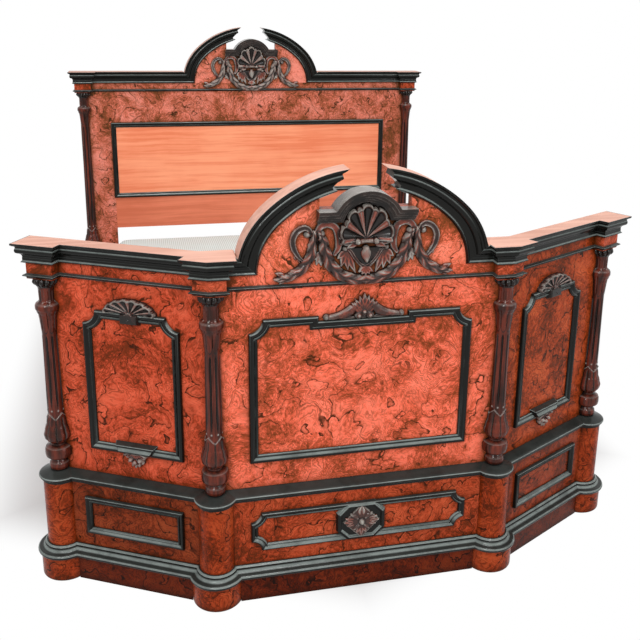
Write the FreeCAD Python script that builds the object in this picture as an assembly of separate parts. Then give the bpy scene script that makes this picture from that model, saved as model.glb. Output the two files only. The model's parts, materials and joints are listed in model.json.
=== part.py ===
import FreeCAD, Part
import math
import os

V = FreeCAD.Vector
UP = V(0, 0, 1)
BACKWARD = V(0, 1, 0)

# Mattress, which sets the size of the bed
MATTRESS_HALF = 684.0
MATTRESS_LENGTH = 1862.0
MATTRESS_HEIGHT = 190.0
MATTRESS_SIDE_GAP = 8.0
MATTRESS_END_GAP = 12.0
MATTRESS_CORNER = 60.0
MATTRESS_DRAW = 6.0
MATTRESS_CROWN = 430.0
MATTRESS_SHARES = [(0.037, 0), (0.014, 0.05), (0.0023, 0.14), (0, 0.32), (0, 0.59), (0.0047, 0.72),
                   (0.021, 0.8), (0.051, 0.86), (0.112, 0.9), (0.28, 0.94), (0.605, 0.98), (1, 1)]

# Plan, measured from the line through the axes of the foot columns
WING_ANGLE = 28.0
COLUMN_OVERHANG = 68.7

# Levels above the floor
PLINTH_HEIGHT = 69.0
BASE_HEIGHT = 30.0
WAIST_LEVEL = 285.0
WAIST_HEIGHT = 26.0
ASTRAGAL_HEIGHT = 14.0
FRIEZE_HEIGHT = 26.0
CORNICE_LEVEL = 885.0
CORNICE_HEIGHT = 54.0
HEAD_RISE = 268.0

# Faces in front of the column axes, and board thicknesses
PANEL_FACE = -5.0
PANEL_THICK = 30.0
PANEL_RUN = 20.0
BLOCK_FACE = 24.0
BLOCK_HALF = 36.0
BASE_FACE = 17.0
BASE_THICK = 30.0
PLINTH_STEP = 16.0
PLINTH_THICK = 30.0
PEDESTAL_RADIUS = 46.0
DRUM_STEP = 19.5
DRUM_EASE = 5.0
FIT = 0.3
TOUCH = 0.0001
OVERRUN = 60.0

# Shares of a half chord by which a stretch of outline bows out or in
HALF_SHARE = 0.5
QUARTER_SHARE = math.tan(math.pi / 8)
ROUND_SHARE = 0.9
SWELL_SHARE = 0.3
HOLLOW_SHARE = -0.45
DIP_SHARE = -0.2
EASE_SHARE = 0.12
KNUCKLE_SHARE = 1.15
LOBE_SHARE = -0.7
FLUTE_ROOT_SHARE = 0.22
FLUTE_WIDTH_SHARE = 0.78

# Moulding sections as shares of reach and height, with a bow share where the next stretch is curved
CAP_THICK = 3.0
CAP_LIP = 2.0
CORNICE_REACH = 24.0
CORNICE_SHARES = [(0.33, 0.065), (0.33, 0.1, DIP_SHARE), (0.21, 0.17), (0.21, 0.28, HOLLOW_SHARE),
                  (0.52, 0.5), (0.65, 0.54, SWELL_SHARE), (0.65, 0.76, HOLLOW_SHARE), (0.85, 0.87),
                  (1, 0.92), (1, 1)]
ASTRAGAL_REACH = 7.5
ASTRAGAL_SHARES = [(0, 0, HOLLOW_SHARE), (0.67, 0.46), (1, 0.57, SWELL_SHARE), (0.93, 0.75), (0, 1)]
BASE_REACH = 28.0
BASE_SHARES = [(0, 0), (0.86, 0, SWELL_SHARE), (1, 0.2, SWELL_SHARE), (0.86, 0.4), (0.76, 0.43, HOLLOW_SHARE),
               (0.29, 0.77), (0.29, 0.87), (0.14, 1), (0, 1)]
WAIST_REACH = 10.0
WAIST_SLOPE = 19.0
WAIST_SHARES = [(0, 0), (0.25, 0), (0.25, 0.14, HOLLOW_SHARE), (0.75, 0.29), (0.75, 0.36, SWELL_SHARE),
                (1, 0.5, SWELL_SHARE), (0.75, 0.64), (0.38, 0.7)]

# Column turning as shares of the widest radius and of the height of the foot or the head
COLUMN_RADIUS = 34.0
COLUMN_FOOT = 159.0
COLUMN_FOOT_SHARES = [(0.66, 0, ROUND_SHARE), (0.66, 0.094), (0.71, 0.107), (0.71, 0.126), (0.81, 0.145),
                      (0.79, 0.233, DIP_SHARE), (0.94, 0.27), (0.98, 0.283, ROUND_SHARE), (0.98, 0.333),
                      (0.88, 0.358, DIP_SHARE), (0.76, 0.39, EASE_SHARE), (1, 0.547, EASE_SHARE),
                      (0.88, 0.767, DIP_SHARE), (0.75, 0.956), (0.75, 0.969, ROUND_SHARE), (0.75, 0.987),
                      (0.71, 1)]
COLUMN_HEAD = 147.0
NECK_SHARE = 0.6
COLUMN_HEAD_SHARES = [(0.58, 1), (0.65, 0.98), (0.735, 0.735, EASE_SHARE), (0.865, 0.51, EASE_SHARE),
                      (0.79, 0.43), (NECK_SHARE, 0.41), (NECK_SHARE, 0.163, HOLLOW_SHARE), (0.88, 0.095),
                      (0.94, 0.082, SWELL_SHARE), (0.94, 0.041), (0.84, 0)]
FLUTE_COUNT = 8
FLUTE_RADIUS = 3.4
FLUTE_STOP = 14.0
NECK_FLUTE_RADIUS = 2.6
NECK_FLUTE_SHARES = (0.37, 0.2)
VASE_CREASE = 4.6
VASE_CREASE_SHARES = (1.06, 0.38, 0.93)
COLLAR_CREASE = 3.6
COLLAR_CREASE_SHARES = (0.91, 0.95, 0.42)
LOBE_NOTCH = 6.5
LOBE_NOTCH_SHARES = (1.07, 0.1, 0)

# Broken arch of three centres above the cornice
ARCH_HALF = 267.0
CORNICE_RUN = 113.0
ARCH_RISE = 206.0
HAUNCH_RADIUS = 165.0
ARCH_BACK = 46.0
TIP_ROOT = 94.0
TIP_SHARE = 2.85
TYMPANUM_GAP = 116.0

# Crest under the arch
HOOD_HALF = 123.0
HOOD_LEVEL = 157.0
HOOD_RADIUS = 92.0
HOOD_EAR_RISE = 44.0
HOOD_BAND = 31.0
HOOD_DEPTH = 36.0
HOOD_STEP_SHARES = [(0.29, 1), (0.55, 0.83), (0.77, 0.58), (1, 0.39)]
SHELL_HUB = 88.0
SHELL_RADIUS = 69.0
SHELL_LOBES = 9
SHELL_SPREAD = 208.0
SHELL_DEPTH = 24.0
BOSS_RADIUS = 13.0
BOSS_LEVEL = 48.0
VOLUTE_RADIUS = 10.0
VOLUTE_HALF = 22.0
VOLUTE_LEVEL = 75.0
SCROLL_HALF = 211.0
SCROLL_RISE = 121.0
SCROLL_RADIUS = 13.0
SWAG_SHARES = [(-0.51, 0.81), (-0.46, 0.36), (-0.32, 0.08), (-0.18, -0.05), (0, -0.085)]
LOOP_SHARES = [(-0.51, 0.81), (-0.44, 0.92), (-0.31, 0.85), (-0.26, 0.66), (-0.3, 0.46)]
TAIL_SHARES = [(-0.58, 0.93), (-0.58, 0.55), (-0.67, 0.2), (-0.81, 0), (-1, -0.065)]
CURL_SHARES = [(-0.64, 0.79), (-0.72, 0.96), (-0.83, 0.81), (-0.86, 0.55), (-0.75, 0.35)]
SCROLL_SHARES = (SWAG_SHARES, LOOP_SHARES, TAIL_SHARES, CURL_SHARES)
SCROLL_RADIUS_SHARES = [(0.77, 1), (0.69, 0.62), (0.69, 0.92), (0.62, 0.54)]

# Applied frames and their carving
FRAME_WIDTH = 22.0
FRAME_PROUD = 10.0
FRAME_STEP = 5.0
BASE_FRAME_WIDTH = 18.0
CENTRE_FRAME_MARGIN = 89.0
CENTRE_FRAME_LIFT = 71.0
FRAME_TOP_MARGIN = 74.0
CENTRE_FRAME_DROP = 13.5
CENTRE_DROP_HALF = 116.0
FRAME_NOTCH = 35.0
WING_FRAME_MARGIN = 91.5
WING_FRAME_SHIFT = 5.5
WING_FRAME_LIFT = 71.0
CENTRE_BASE_MARGIN = 87.0
BASE_FRAME_LIFT = 40.0
BASE_FRAME_DROP = 37.0
BASE_NOTCH = 27.0
WING_BASE_MARGIN = 82.5
CRESTING_RADIUS = 66.0
CRESTING_LOBES = 5
CRESTING_SPREAD = 150.0
CRESTING_ARM_SHARES = [(-0.35, 0.42), (-0.8, 0.23), (-1.4, 0.15)]
CRESTING_ARM_RADIUS = 9.0
WING_SHELL_RADIUS = 82.0
WING_SHELL_SINK = 45.0
WING_SHELL_LOBES = 9
WING_SHELL_SPREAD = 116.0
WING_SHELL_DEPTH = 20.0
TABLET_HALF = 27.0
TABLET_DROP = 7.0
TABLET_LAP = 4.0
DROP_TOP_HALF = 60.0
DROP_LOW_HALF = 46.0
DROP_LIFT = 5.0
DROP_HEIGHT = 27.0
DROP_RADIUS = 54.0
DROP_LOBES = 3
DROP_LAP = 14.0
DROP_SPREAD = 64.0
CARVING_DEPTH = 18.0
ROSETTE_HALF = 66.0
ROSETTE_RISE = 56.0
ROSETTE_CORNER = 24.0
ROSETTE_PLATE = 9.0
ROSETTE_RADIUS = 47.0
ROSETTE_LOBES = 8

# Headboard framing
STILE_WIDTH = 138.7
HEAD_RAIL_LOW = 466.0
HEAD_RAIL_HEIGHT = 152.0
HEAD_FRAME_DROP = 141.0
FRAME_LAP = 4.0
HEAD_PANEL_THICK = 14.0
TONGUE_LENGTH = 8.0
TONGUE_THICK = 6.0
TENON_LENGTH = 45.0
TENON_THICK = 11.0
TENON_SHOULDER = 22.0

# Rails, slats and mattress
RAIL_THICK = 28.0
RAIL_LOW = 190.0
RAIL_HEIGHT = 200.0
RAIL_POST_HALF = 30.0
RAIL_POST_REACH = 52.1
RAIL_POST_DROP = 5.0
LEDGER_SIDE = 28.0
LEDGER_LIFT = 10.0
SLAT_COUNT = 10
SLAT_WIDTH = 92.0
SLAT_THICK = 20.0
SLAT_INSET = 50.0
HOOK_THICK = 5.0
HOOK_HEIGHT = 120.0
HOOK_TAIL = 60.0
HOOK_NOSE = 22.0
HOOK_PIN_RADIUS = 4.0
HOOK_PIN_DEPTH = 11.0
HOOK_PIN_LOW = 26.0
HOOK_PIN_PITCH = 62.0
HOOK_PIN_LENGTH = 18.0
HOOK_FINGER = 50.0
HOOK_LIFT = 40.0
HOOK_PLAY = 1.0


def spread(shares, across, up):
    return [(share[0] * across, share[1] * up) + tuple(share[2:]) for share in shares]


# Values that follow from the ones above
RAIL_MID = MATTRESS_HALF + MATTRESS_SIDE_GAP + RAIL_THICK * HALF_SHARE
OUTER_HALF = RAIL_MID + COLUMN_OVERHANG
INNER_HALF = ARCH_HALF + CORNICE_RUN
WING_LENGTH = (OUTER_HALF - INNER_HALF) / math.cos(math.radians(WING_ANGLE))
WING_SET_BACK = WING_LENGTH * math.sin(math.radians(WING_ANGLE))
RAIL_POST_BACK = WING_SET_BACK + RAIL_POST_REACH
BED_LENGTH = RAIL_POST_BACK + MATTRESS_LENGTH + MATTRESS_END_GAP + MATTRESS_END_GAP + PANEL_FACE
FOOT_LINE = [V(-OUTER_HALF, WING_SET_BACK, 0), V(-INNER_HALF, 0, 0), V(INNER_HALF, 0, 0),
             V(OUTER_HALF, WING_SET_BACK, 0)]
AXIS_NAMES = ("outer_left", "inner_left", "inner_right", "outer_right")
HEAD_SHIFT = V(0, BED_LENGTH, HEAD_RISE)
HEAD_LINE = [V(-OUTER_HALF, BED_LENGTH, 0), V(OUTER_HALF, BED_LENGTH, 0)]
PANEL_BACK = PANEL_FACE - PANEL_THICK
PLINTH_FACE = BASE_FACE + PLINTH_STEP
DRUM_RADIUS = PEDESTAL_RADIUS + DRUM_STEP
BASE_TOP = PLINTH_HEIGHT + BASE_HEIGHT
WAIST_TOP = WAIST_LEVEL + WAIST_HEIGHT
ASTRAGAL_LEVEL = CORNICE_LEVEL - FRIEZE_HEIGHT - ASTRAGAL_HEIGHT
ARCH_FOOT = ARCH_HALF - HAUNCH_RADIUS
CROWN_RADIUS = (ARCH_FOOT ** 2 + ARCH_RISE ** 2 - HAUNCH_RADIUS ** 2) / (ARCH_RISE - HAUNCH_RADIUS) / 2
CROWN_DROP = CROWN_RADIUS - ARCH_RISE
HAUNCH_ANGLE = math.degrees(math.atan2(CROWN_DROP, ARCH_FOOT))
CORNICE_FRONT = spread(CORNICE_SHARES, CORNICE_REACH, CORNICE_HEIGHT)
CAP_SEAT = CORNICE_HEIGHT - CAP_THICK
CAP_EDGE = CORNICE_REACH - CAP_LIP
CAP_LEVEL = CORNICE_LEVEL + CAP_SEAT
RAIL_POST_TOP = CORNICE_LEVEL - RAIL_POST_DROP
CENTRE_FRAME_HALF = INNER_HALF - CENTRE_FRAME_MARGIN
CENTRE_FRAME_LOW = WAIST_TOP + CENTRE_FRAME_LIFT
FRAME_HIGH = ASTRAGAL_LEVEL - FRAME_TOP_MARGIN
WING_FRAME_HALF = WING_LENGTH * HALF_SHARE - WING_FRAME_MARGIN
WING_FRAME_MID = WING_LENGTH * HALF_SHARE - WING_FRAME_SHIFT
WING_FRAME_LOW = WAIST_TOP + WING_FRAME_LIFT
DROP_LOW = WING_FRAME_LOW + DROP_LIFT
CENTRE_BASE_HALF = INNER_HALF - CENTRE_BASE_MARGIN
BASE_FRAME_LOW = BASE_TOP + BASE_FRAME_LIFT
BASE_FRAME_HIGH = WAIST_LEVEL - BASE_FRAME_DROP
WING_BASE_HALF = WING_LENGTH * HALF_SHARE - WING_BASE_MARGIN
WING_BASE_MID = WING_LENGTH * HALF_SHARE
ROSETTE_LEVEL = (BASE_TOP + WAIST_LEVEL) * HALF_SHARE
STILE_EDGE = OUTER_HALF + PANEL_RUN - STILE_WIDTH
HEAD_FRAME_HALF = STILE_EDGE + FRAME_LAP
HEAD_RAIL_TOP = HEAD_RAIL_LOW + HEAD_RAIL_HEIGHT
HEAD_FRAME_LOW = HEAD_RAIL_TOP - FRAME_LAP
HEAD_FRAME_HIGH = ASTRAGAL_LEVEL + HEAD_RISE - HEAD_FRAME_DROP
CORNICE_TOP = [(CAP_EDGE, CORNICE_HEIGHT), (CAP_EDGE, CAP_SEAT)]
CORNICE_SECTION = [(0, 0)] + CORNICE_FRONT + CORNICE_TOP + [(0, CAP_SEAT)]
ARCH_SECTION = [(-ARCH_BACK, 0), (0, 0)] + CORNICE_FRONT + CORNICE_TOP + [(-ARCH_BACK, CAP_SEAT)]
ARCH_CAP_SECTION = [(-ARCH_BACK, CAP_SEAT), (CAP_EDGE, CAP_SEAT), (CAP_EDGE, CORNICE_HEIGHT),
                    (-ARCH_BACK, CORNICE_HEIGHT)]
ASTRAGAL_SECTION = spread(ASTRAGAL_SHARES, ASTRAGAL_REACH, ASTRAGAL_HEIGHT)
BASE_SECTION = spread(BASE_SHARES, BASE_REACH, BASE_HEIGHT)
WAIST_FRONT = spread(WAIST_SHARES, WAIST_REACH, WAIST_HEIGHT) + [(-WAIST_SLOPE, WAIST_HEIGHT)]
WAIST_BACK = BASE_FACE - PANEL_BACK
FRONT_REACH = PEDESTAL_RADIUS + BASE_REACH
BACK_REACH = BED_LENGTH - PANEL_FACE + ARCH_BACK
ORIGIN_SHIFT = V(0, (FRONT_REACH - BACK_REACH) / 2, 0)


def save(node, solids):
    shape = solids if isinstance(solids, Part.Shape) else Part.makeCompound(solids)
    moved = shape.copy()
    moved.translate(ORIGIN_SHIFT)
    moved.exportStep("parts/" + node + ".step")


def mirrored(shape):
    return shape.mirror(V(0, 0, 0), V(1, 0, 0))


def pair(shape):
    return [shape, mirrored(shape)]


def moved(shape, shift):
    copy = shape.copy()
    copy.translate(shift)
    return copy


def joined(shapes):
    return shapes[0].multiFuse(shapes[1:]).removeSplitter()


def largest(shape):
    return max(shape.Solids, key=lambda solid: solid.Volume)


# Outlines in the upright plane: points are (across, up), with a bow share where the next stretch is an arc
def chain(points):
    edges = []
    for here, there in zip(points, points[1:] + points[:1]):
        start = V(here[0], 0, here[1])
        end = V(there[0], 0, there[1])
        if len(here) == 2:
            edges.append(Part.makeLine(start, end))
            continue
        chord = end - start
        middle = (start + end) * HALF_SHARE + V(chord.z, 0, -chord.x) * (here[2] * HALF_SHARE)
        edges.append(Part.Arc(start, middle, end).toShape())
    return Part.Wire(edges)


def arc(centre, radius, start, stop):
    points = []
    for angle in (start, (start + stop) / 2, stop):
        turn = math.radians(angle)
        points.append(V(centre[0] + radius * math.cos(turn), 0, centre[1] + radius * math.sin(turn)))
    return Part.Arc(*points).toShape()


def looped(edges):
    joints = []
    for here, there in zip(edges, edges[1:] + edges[:1]):
        end = here.lastVertex(True).Point
        start = there.firstVertex(True).Point
        joints.append(here)
        if (end - start).Length > TOUCH:
            joints.append(Part.makeLine(end, start))
    return Part.Wire(joints)


def slab(wire, front, back):
    face = Part.Face(wire)
    face.translate(V(0, front, 0))
    return face.extrude(V(0, back - front, 0))


def turned(points):
    return Part.Face(chain(points)).revolve(V(0, 0, 0), UP, 360)


# Plan helpers: a line of column axes runs left to right with its front on the right hand
def heading(start, end):
    return (end - start).normalize()


def outward(way):
    return V(way.y, -way.x, 0)


def mitres(path):
    ways = [heading(a, b) for a, b in zip(path, path[1:])]
    sides = [outward(way) for way in ways]
    before = [sides[0]] + sides
    after = sides + [sides[-1]]
    return [(a + b) * (1 / (1 + a.dot(b))) for a, b in zip(before, after)]


def offset_line(line, reach, run=0):
    points = [point + mitre * reach for point, mitre in zip(line, mitres(line))]
    points[0] = points[0] - heading(line[0], line[1]) * run
    points[-1] = points[-1] + heading(line[-2], line[-1]) * run
    return points


def at(line, side, along, reach):
    way = heading(line[side], line[side + 1])
    return line[side] + way * along + outward(way) * reach


def prism(points, low, high):
    face = Part.Face(Part.makePolygon(points + points[:1]))
    face.translate(V(0, 0, low))
    return face.extrude(V(0, 0, high - low))


def strips(line, front, back, low, high, run=0):
    ahead = offset_line(line, front, run)
    behind = offset_line(line, back, run)
    sides = zip(ahead, ahead[1:], behind[1:], behind)
    return [prism(list(corners), low, high) for corners in sides]


def rear_zone(line, reach, run, low, high):
    ahead = offset_line(line, reach, run)
    depth = OVERRUN + OVERRUN + OVERRUN
    back_right = ahead[-1] - outward(heading(line[-2], line[-1])) * depth
    back_left = ahead[0] - outward(heading(line[0], line[1])) * depth
    return prism(ahead + [back_right, back_left], low, high)


def box(left, right, front, back, low, high):
    return Part.makeBox(right - left, back - front, high - low, V(left, front, low))


def grown(left, right, front, back, low, high):
    return box(left - FIT, right + FIT, front - FIT, back + FIT, low - FIT, high + FIT)


def drum(centre, radius, low, high):
    return Part.makeCylinder(radius, high - low, centre + V(0, 0, low))


# Moulding lengths: a section carried along a path and mitred at each turn
def moulding(section, path, level, turns=None):
    reaches = [point[0] for point in section]
    back = min(reaches)
    front = max(reaches)
    top = max(point[1] for point in section)
    turns = turns or mitres(path)
    face = Part.Face(chain(section))
    runs = []
    for i in range(len(path) - 1):
        way = heading(path[i], path[i + 1])
        side = outward(way)
        length = (path[i + 1] - path[i]).Length
        run = face.extrude(V(0, length + OVERRUN + OVERRUN, 0))
        run.rotate(V(0, 0, 0), UP, math.degrees(math.atan2(side.y, side.x)))
        run.translate(path[i] - way * OVERRUN + V(0, 0, level))
        outer = [path[i] + turns[i] * front, path[i + 1] + turns[i + 1] * front]
        inner = [path[i + 1] + turns[i + 1] * back, path[i] + turns[i] * back]
        runs.append(run.common(prism(outer + inner, level - OVERRUN, level + top + OVERRUN)))
    return joined(runs) if len(runs) > 1 else runs[0]


def ring(section, radius, centre, level):
    solid = turned([(radius + point[0],) + tuple(point[1:]) for point in section])
    return moved(solid, centre + V(0, 0, level))


# Columns: turned, then fluted on the shaft and neck and creased into petals on the vase, collar and capital
def rod(radius, start, end):
    return Part.makeCylinder(radius, (end - start).Length, start, end - start)


def around(cutter):
    cutters = []
    for i in range(FLUTE_COUNT):
        copy = cutter.copy()
        copy.rotate(V(0, 0, 0), UP, 360 * i / FLUTE_COUNT)
        cutters.append(copy)
    return cutters


def flute(radius, low, high):
    stops = [Part.makeSphere(radius, end) for end in (low, high)]
    return rod(radius, low, high).multiFuse(stops)


def column(height):
    foot = spread(COLUMN_FOOT_SHARES, COLUMN_RADIUS, COLUMN_FOOT)
    head = spread(COLUMN_HEAD_SHARES, COLUMN_RADIUS, -COLUMN_HEAD)
    head = [(point[0], height + point[1]) + tuple(point[2:]) for point in head]
    body = turned([(0, 0)] + foot + head + [(0, height)])
    shaft = heading(V(foot[-1][0], 0, foot[-1][1]), V(head[0][0], 0, head[0][1]))
    shaft_low = V(foot[-1][0], 0, foot[-1][1]) + shaft * FLUTE_STOP
    shaft_high = V(head[0][0], 0, head[0][1]) - shaft * FLUTE_STOP
    neck = [V(NECK_SHARE * COLUMN_RADIUS, 0, height - share * COLUMN_HEAD) for share in NECK_FLUTE_SHARES]
    cutters = around(flute(FLUTE_RADIUS, shaft_low, shaft_high))
    cutters += around(flute(NECK_FLUTE_RADIUS, *neck))
    cutters += around(crease(VASE_CREASE, VASE_CREASE_SHARES, 0, COLUMN_FOOT))
    cutters += around(crease(COLLAR_CREASE, COLLAR_CREASE_SHARES, height, -COLUMN_HEAD))
    cutters += around(crease(LOBE_NOTCH, LOBE_NOTCH_SHARES, height, -COLUMN_HEAD))
    return body.cut(cutters)


def crease(radius, shares, level, span):
    line, low, high = shares
    across = line * COLUMN_RADIUS
    return rod(radius, V(across, 0, level + low * span), V(across, 0, level + high * span))


def split_column(solid, line, centre):
    top = ASTRAGAL_LEVEL + HEAD_RISE + OVERRUN
    front = moved(solid, centre + V(0, 0, WAIST_TOP)).cut(rear_zone(line, PANEL_FACE, PANEL_RUN, 0, top))
    return largest(front)


# Carving: lobed fans and curling branches laid on an upright face whose front is towards -Y
def fan(radius, lobes, spread, depth):
    step = math.radians(spread / lobes)
    half = step / 2
    rim = radius / (math.cos(half) - LOBE_SHARE * math.sin(half))
    leans = [step * (i - lobes / 2) for i in range(lobes + 1)]
    scallops = [(rim * math.sin(lean), rim * math.cos(lean), LOBE_SHARE) for lean in leans]
    last = scallops.pop()
    outline = scallops if spread == 360 else [(0, 0)] + scallops + [last[:2]]
    flutes = []
    for lean in leans[:-1]:
        root = rim * FLUTE_ROOT_SHARE
        end = rim + OVERRUN
        width = math.sin(half) * FLUTE_WIDTH_SHARE
        groove = Part.makeCone(root * width, end * width, end - root, V(0, -depth, root), UP)
        groove.rotate(V(0, 0, 0), BACKWARD, math.degrees(lean + half))
        flutes.append(groove)
    return slab(chain(outline), -depth, 0).cut(flutes)


def branch(path, radii):
    pieces = []
    for i, radius in enumerate(radii):
        start, middle, end = [V(x, 0, z) for x, z in path[2 * i:2 * i + 3]]
        edge = Part.Arc(start, middle, end).toShape()
        tangent = edge.tangentAt(edge.FirstParameter)
        circle = Part.Wire(Part.makeCircle(radius, start, tangent))
        pieces.append(Part.Wire(edge).makePipeShell([circle], True, False))
        pieces += [Part.makeSphere(radius * KNUCKLE_SHARE, point) for point in (start, end)]
    return pieces


def backed(shape, width):
    reach = width + OVERRUN
    keep = Part.makeBox(reach + reach, reach, reach + reach, V(-reach, -reach, -reach))
    return shape.common(keep)


def frame(points, width, proud):
    outer = chain(points)
    inset = outer.makeOffset2D(-width, 2)
    low = slab(outer, -proud + FRAME_STEP, 0).cut(slab(inset, -proud + FRAME_STEP, 0))
    brow = outer.makeOffset2D(-FRAME_STEP, 2)
    eaves = outer.makeOffset2D(FRAME_STEP - width, 2)
    high = slab(brow, -proud, 0).cut(slab(eaves, -proud, 0))
    return low.fuse(high).removeSplitter()


def on_side(shape, line, side, along, reach):
    way = heading(line[side], line[side + 1])
    placed = shape.copy()
    placed.rotate(V(0, 0, 0), UP, math.degrees(math.atan2(way.y, way.x)))
    placed.translate(at(line, side, along, reach))
    return placed


# Pediment, drawn at foot level about the middle of the line of column axes
def arch(section):
    low = (-ARCH_FOOT, CORNICE_LEVEL)
    high = (0, CORNICE_LEVEL - CROWN_DROP)
    face = Part.Face(chain(section))
    face.rotate(V(0, 0, 0), UP, -90)
    face.rotate(V(0, 0, 0), BACKWARD, -90)
    face.translate(V(-ARCH_HALF, -PANEL_FACE, CORNICE_LEVEL))
    haunch_pin = V(low[0], 0, low[1])
    haunch = face.revolve(haunch_pin, BACKWARD, HAUNCH_ANGLE)
    face.rotate(haunch_pin, BACKWARD, HAUNCH_ANGLE)
    crown = face.revolve(V(high[0], 0, high[1]), BACKWARD, 90 - HAUNCH_ANGLE)
    foot = mitre_wedge(False)
    return joined([haunch, crown]).cut([foot, arch_gap()])


def mitre_wedge(above):
    side = CORNICE_HEIGHT + OVERRUN
    corner = (-ARCH_HALF - side, CORNICE_LEVEL + side)
    third = (-ARCH_HALF, CORNICE_LEVEL + side) if above else (-ARCH_HALF - side, CORNICE_LEVEL)
    return slab(chain([(-ARCH_HALF, CORNICE_LEVEL), corner, third]), -OVERRUN, OVERRUN)


def arch_gap():
    lean = math.asin(TIP_ROOT / CROWN_RADIUS)
    along = V(math.cos(lean), 0, math.sin(lean))
    rising = V(-math.sin(lean), 0, math.cos(lean))
    root = V(0, 0, CORNICE_LEVEL - CROWN_DROP) + rising * CROWN_RADIUS
    points = [root - rising * OVERRUN]
    points += [root + rising * step[1] + along * (step[0] * TIP_SHARE) for step in [(0, 0)] + CORNICE_FRONT]
    points.append(points[-1] + rising * OVERRUN)
    outline = [(point.x, point.z) for point in points]
    outline += [(OVERRUN, outline[-1][1]), (OVERRUN, outline[0][1])]
    return slab(chain(outline), -OVERRUN, OVERRUN)


def tympanum():
    haunch = HAUNCH_RADIUS - FIT
    crown = CROWN_RADIUS - FIT
    gap_angle = math.degrees(math.acos(TYMPANUM_GAP / crown))
    side = 180 - HAUNCH_ANGLE
    left_low = arc((-ARCH_FOOT, CORNICE_LEVEL), haunch, 180, side)
    left_top = arc((0, CORNICE_LEVEL - CROWN_DROP), crown, side, 180 - gap_angle)
    right_top = arc((0, CORNICE_LEVEL - CROWN_DROP), crown, gap_angle, HAUNCH_ANGLE)
    right_low = arc((ARCH_FOOT, CORNICE_LEVEL), haunch, HAUNCH_ANGLE, 0)
    sill = CORNICE_LEVEL + HOOD_LEVEL
    notch = Part.makeLine(V(-TYMPANUM_GAP, 0, sill), V(TYMPANUM_GAP, 0, sill))
    wire = looped([left_low, left_top, notch, right_top, right_low])
    return slab(wire, -PANEL_FACE, -PANEL_BACK)


def hood_line(inset):
    ear = HOOD_EAR_RISE - inset
    radius = HOOD_RADIUS - inset
    spring = math.degrees(math.asin(ear / radius))
    top = CORNICE_LEVEL + HOOD_LEVEL - inset
    centre = (0, top - ear)
    over = arc(centre, radius, 180 - spring, spring)
    return over, HOOD_HALF - inset, top


def hood_band(inset, front, back):
    over, end, top = hood_line(0)
    inner, inner_end, inner_top = hood_line(inset)
    left = Part.makeLine(V(-end, 0, inner_top), V(-end, 0, top))
    right = Part.makeLine(V(end, 0, top), V(end, 0, inner_top))
    under = Part.Edge(inner.Curve, inner.FirstParameter, inner.LastParameter)
    under.reverse()
    return slab(looped([left, over, right, under]), front, back)


def hood():
    steps = spread(HOOD_STEP_SHARES, HOOD_BAND, HOOD_DEPTH)
    bands = [hood_band(inset, -PANEL_FACE - reach, -PANEL_FACE) for inset, reach in steps]
    web = slab(looped([hood_line(0)[0]]), -PANEL_FACE, -PANEL_BACK)
    return joined(bands + [web])


def crest_shell():
    shell = moved(fan(SHELL_RADIUS, SHELL_LOBES, SHELL_SPREAD, SHELL_DEPTH), V(0, 0, SHELL_HUB))
    boss = Part.makeSphere(BOSS_RADIUS, V(0, -BOSS_RADIUS * HALF_SHARE, BOSS_LEVEL))
    neck = rod(BOSS_RADIUS, V(0, 0, BOSS_LEVEL), V(0, 0, SHELL_HUB))
    eyes = []
    for x in (-VOLUTE_HALF, VOLUTE_HALF):
        eye = V(x, 0, VOLUTE_LEVEL)
        eyes.append(rod(VOLUTE_RADIUS, eye, eye - BACKWARD * (SHELL_DEPTH + VOLUTE_RADIUS)))
    roll_left = V(-VOLUTE_HALF, -VOLUTE_RADIUS, VOLUTE_LEVEL)
    roll = rod(VOLUTE_RADIUS, roll_left, roll_left + V(VOLUTE_HALF + VOLUTE_HALF, 0, 0))
    whole = backed(joined([shell, boss, neck, roll] + eyes), HOOD_HALF)
    return moved(whole, V(0, -PANEL_FACE, CORNICE_LEVEL))


def crest_scroll():
    pieces = []
    for shares, radius_shares in zip(SCROLL_SHARES, SCROLL_RADIUS_SHARES):
        radii = [share * SCROLL_RADIUS for share in radius_shares]
        pieces += branch(spread(shares, SCROLL_HALF, SCROLL_RISE), radii)
    reach = ARCH_HALF + ARCH_HALF
    left = Part.makeBox(ARCH_HALF, ARCH_HALF, reach, V(-ARCH_HALF, -ARCH_HALF, -ARCH_HALF))
    shell_room = rod(SHELL_RADIUS + FIT, V(0, -OVERRUN, SHELL_HUB), V(0, OVERRUN, SHELL_HUB))
    whole = largest(joined(pieces).common(left).cut(shell_room))
    return moved(whole, V(0, -PANEL_FACE, CORNICE_LEVEL))


def wing_sides(shape, along, reach):
    return pair(on_side(shape, FOOT_LINE, 0, WING_LENGTH - along, reach))


# Lines that the upper mouldings follow, breaking forward over each column
def end_break(line, back):
    return [at(line, 0, -BLOCK_HALF, back), at(line, 0, -BLOCK_HALF, BLOCK_FACE),
            at(line, 0, BLOCK_HALF, BLOCK_FACE), at(line, 0, BLOCK_HALF, PANEL_FACE)]


def corner_break(line):
    side = (line[1] - line[0]).Length - BLOCK_HALF
    return [at(line, 0, side, PANEL_FACE), at(line, 0, side, BLOCK_FACE), offset_line(line, BLOCK_FACE)[1],
            at(line, 1, BLOCK_HALF, BLOCK_FACE), at(line, 1, BLOCK_HALF, PANEL_FACE)]


def end_block(line):
    panel_end = [at(line, 0, -PANEL_RUN, PANEL_FACE), at(line, 0, -PANEL_RUN, PANEL_BACK)]
    return prism(end_break(line, PANEL_BACK) + panel_end, ASTRAGAL_LEVEL, CAP_LEVEL)


def corner_block(line):
    return prism(corner_break(line) + [offset_line(line, PANEL_FACE)[1]], ASTRAGAL_LEVEL, CAP_LEVEL)


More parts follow.
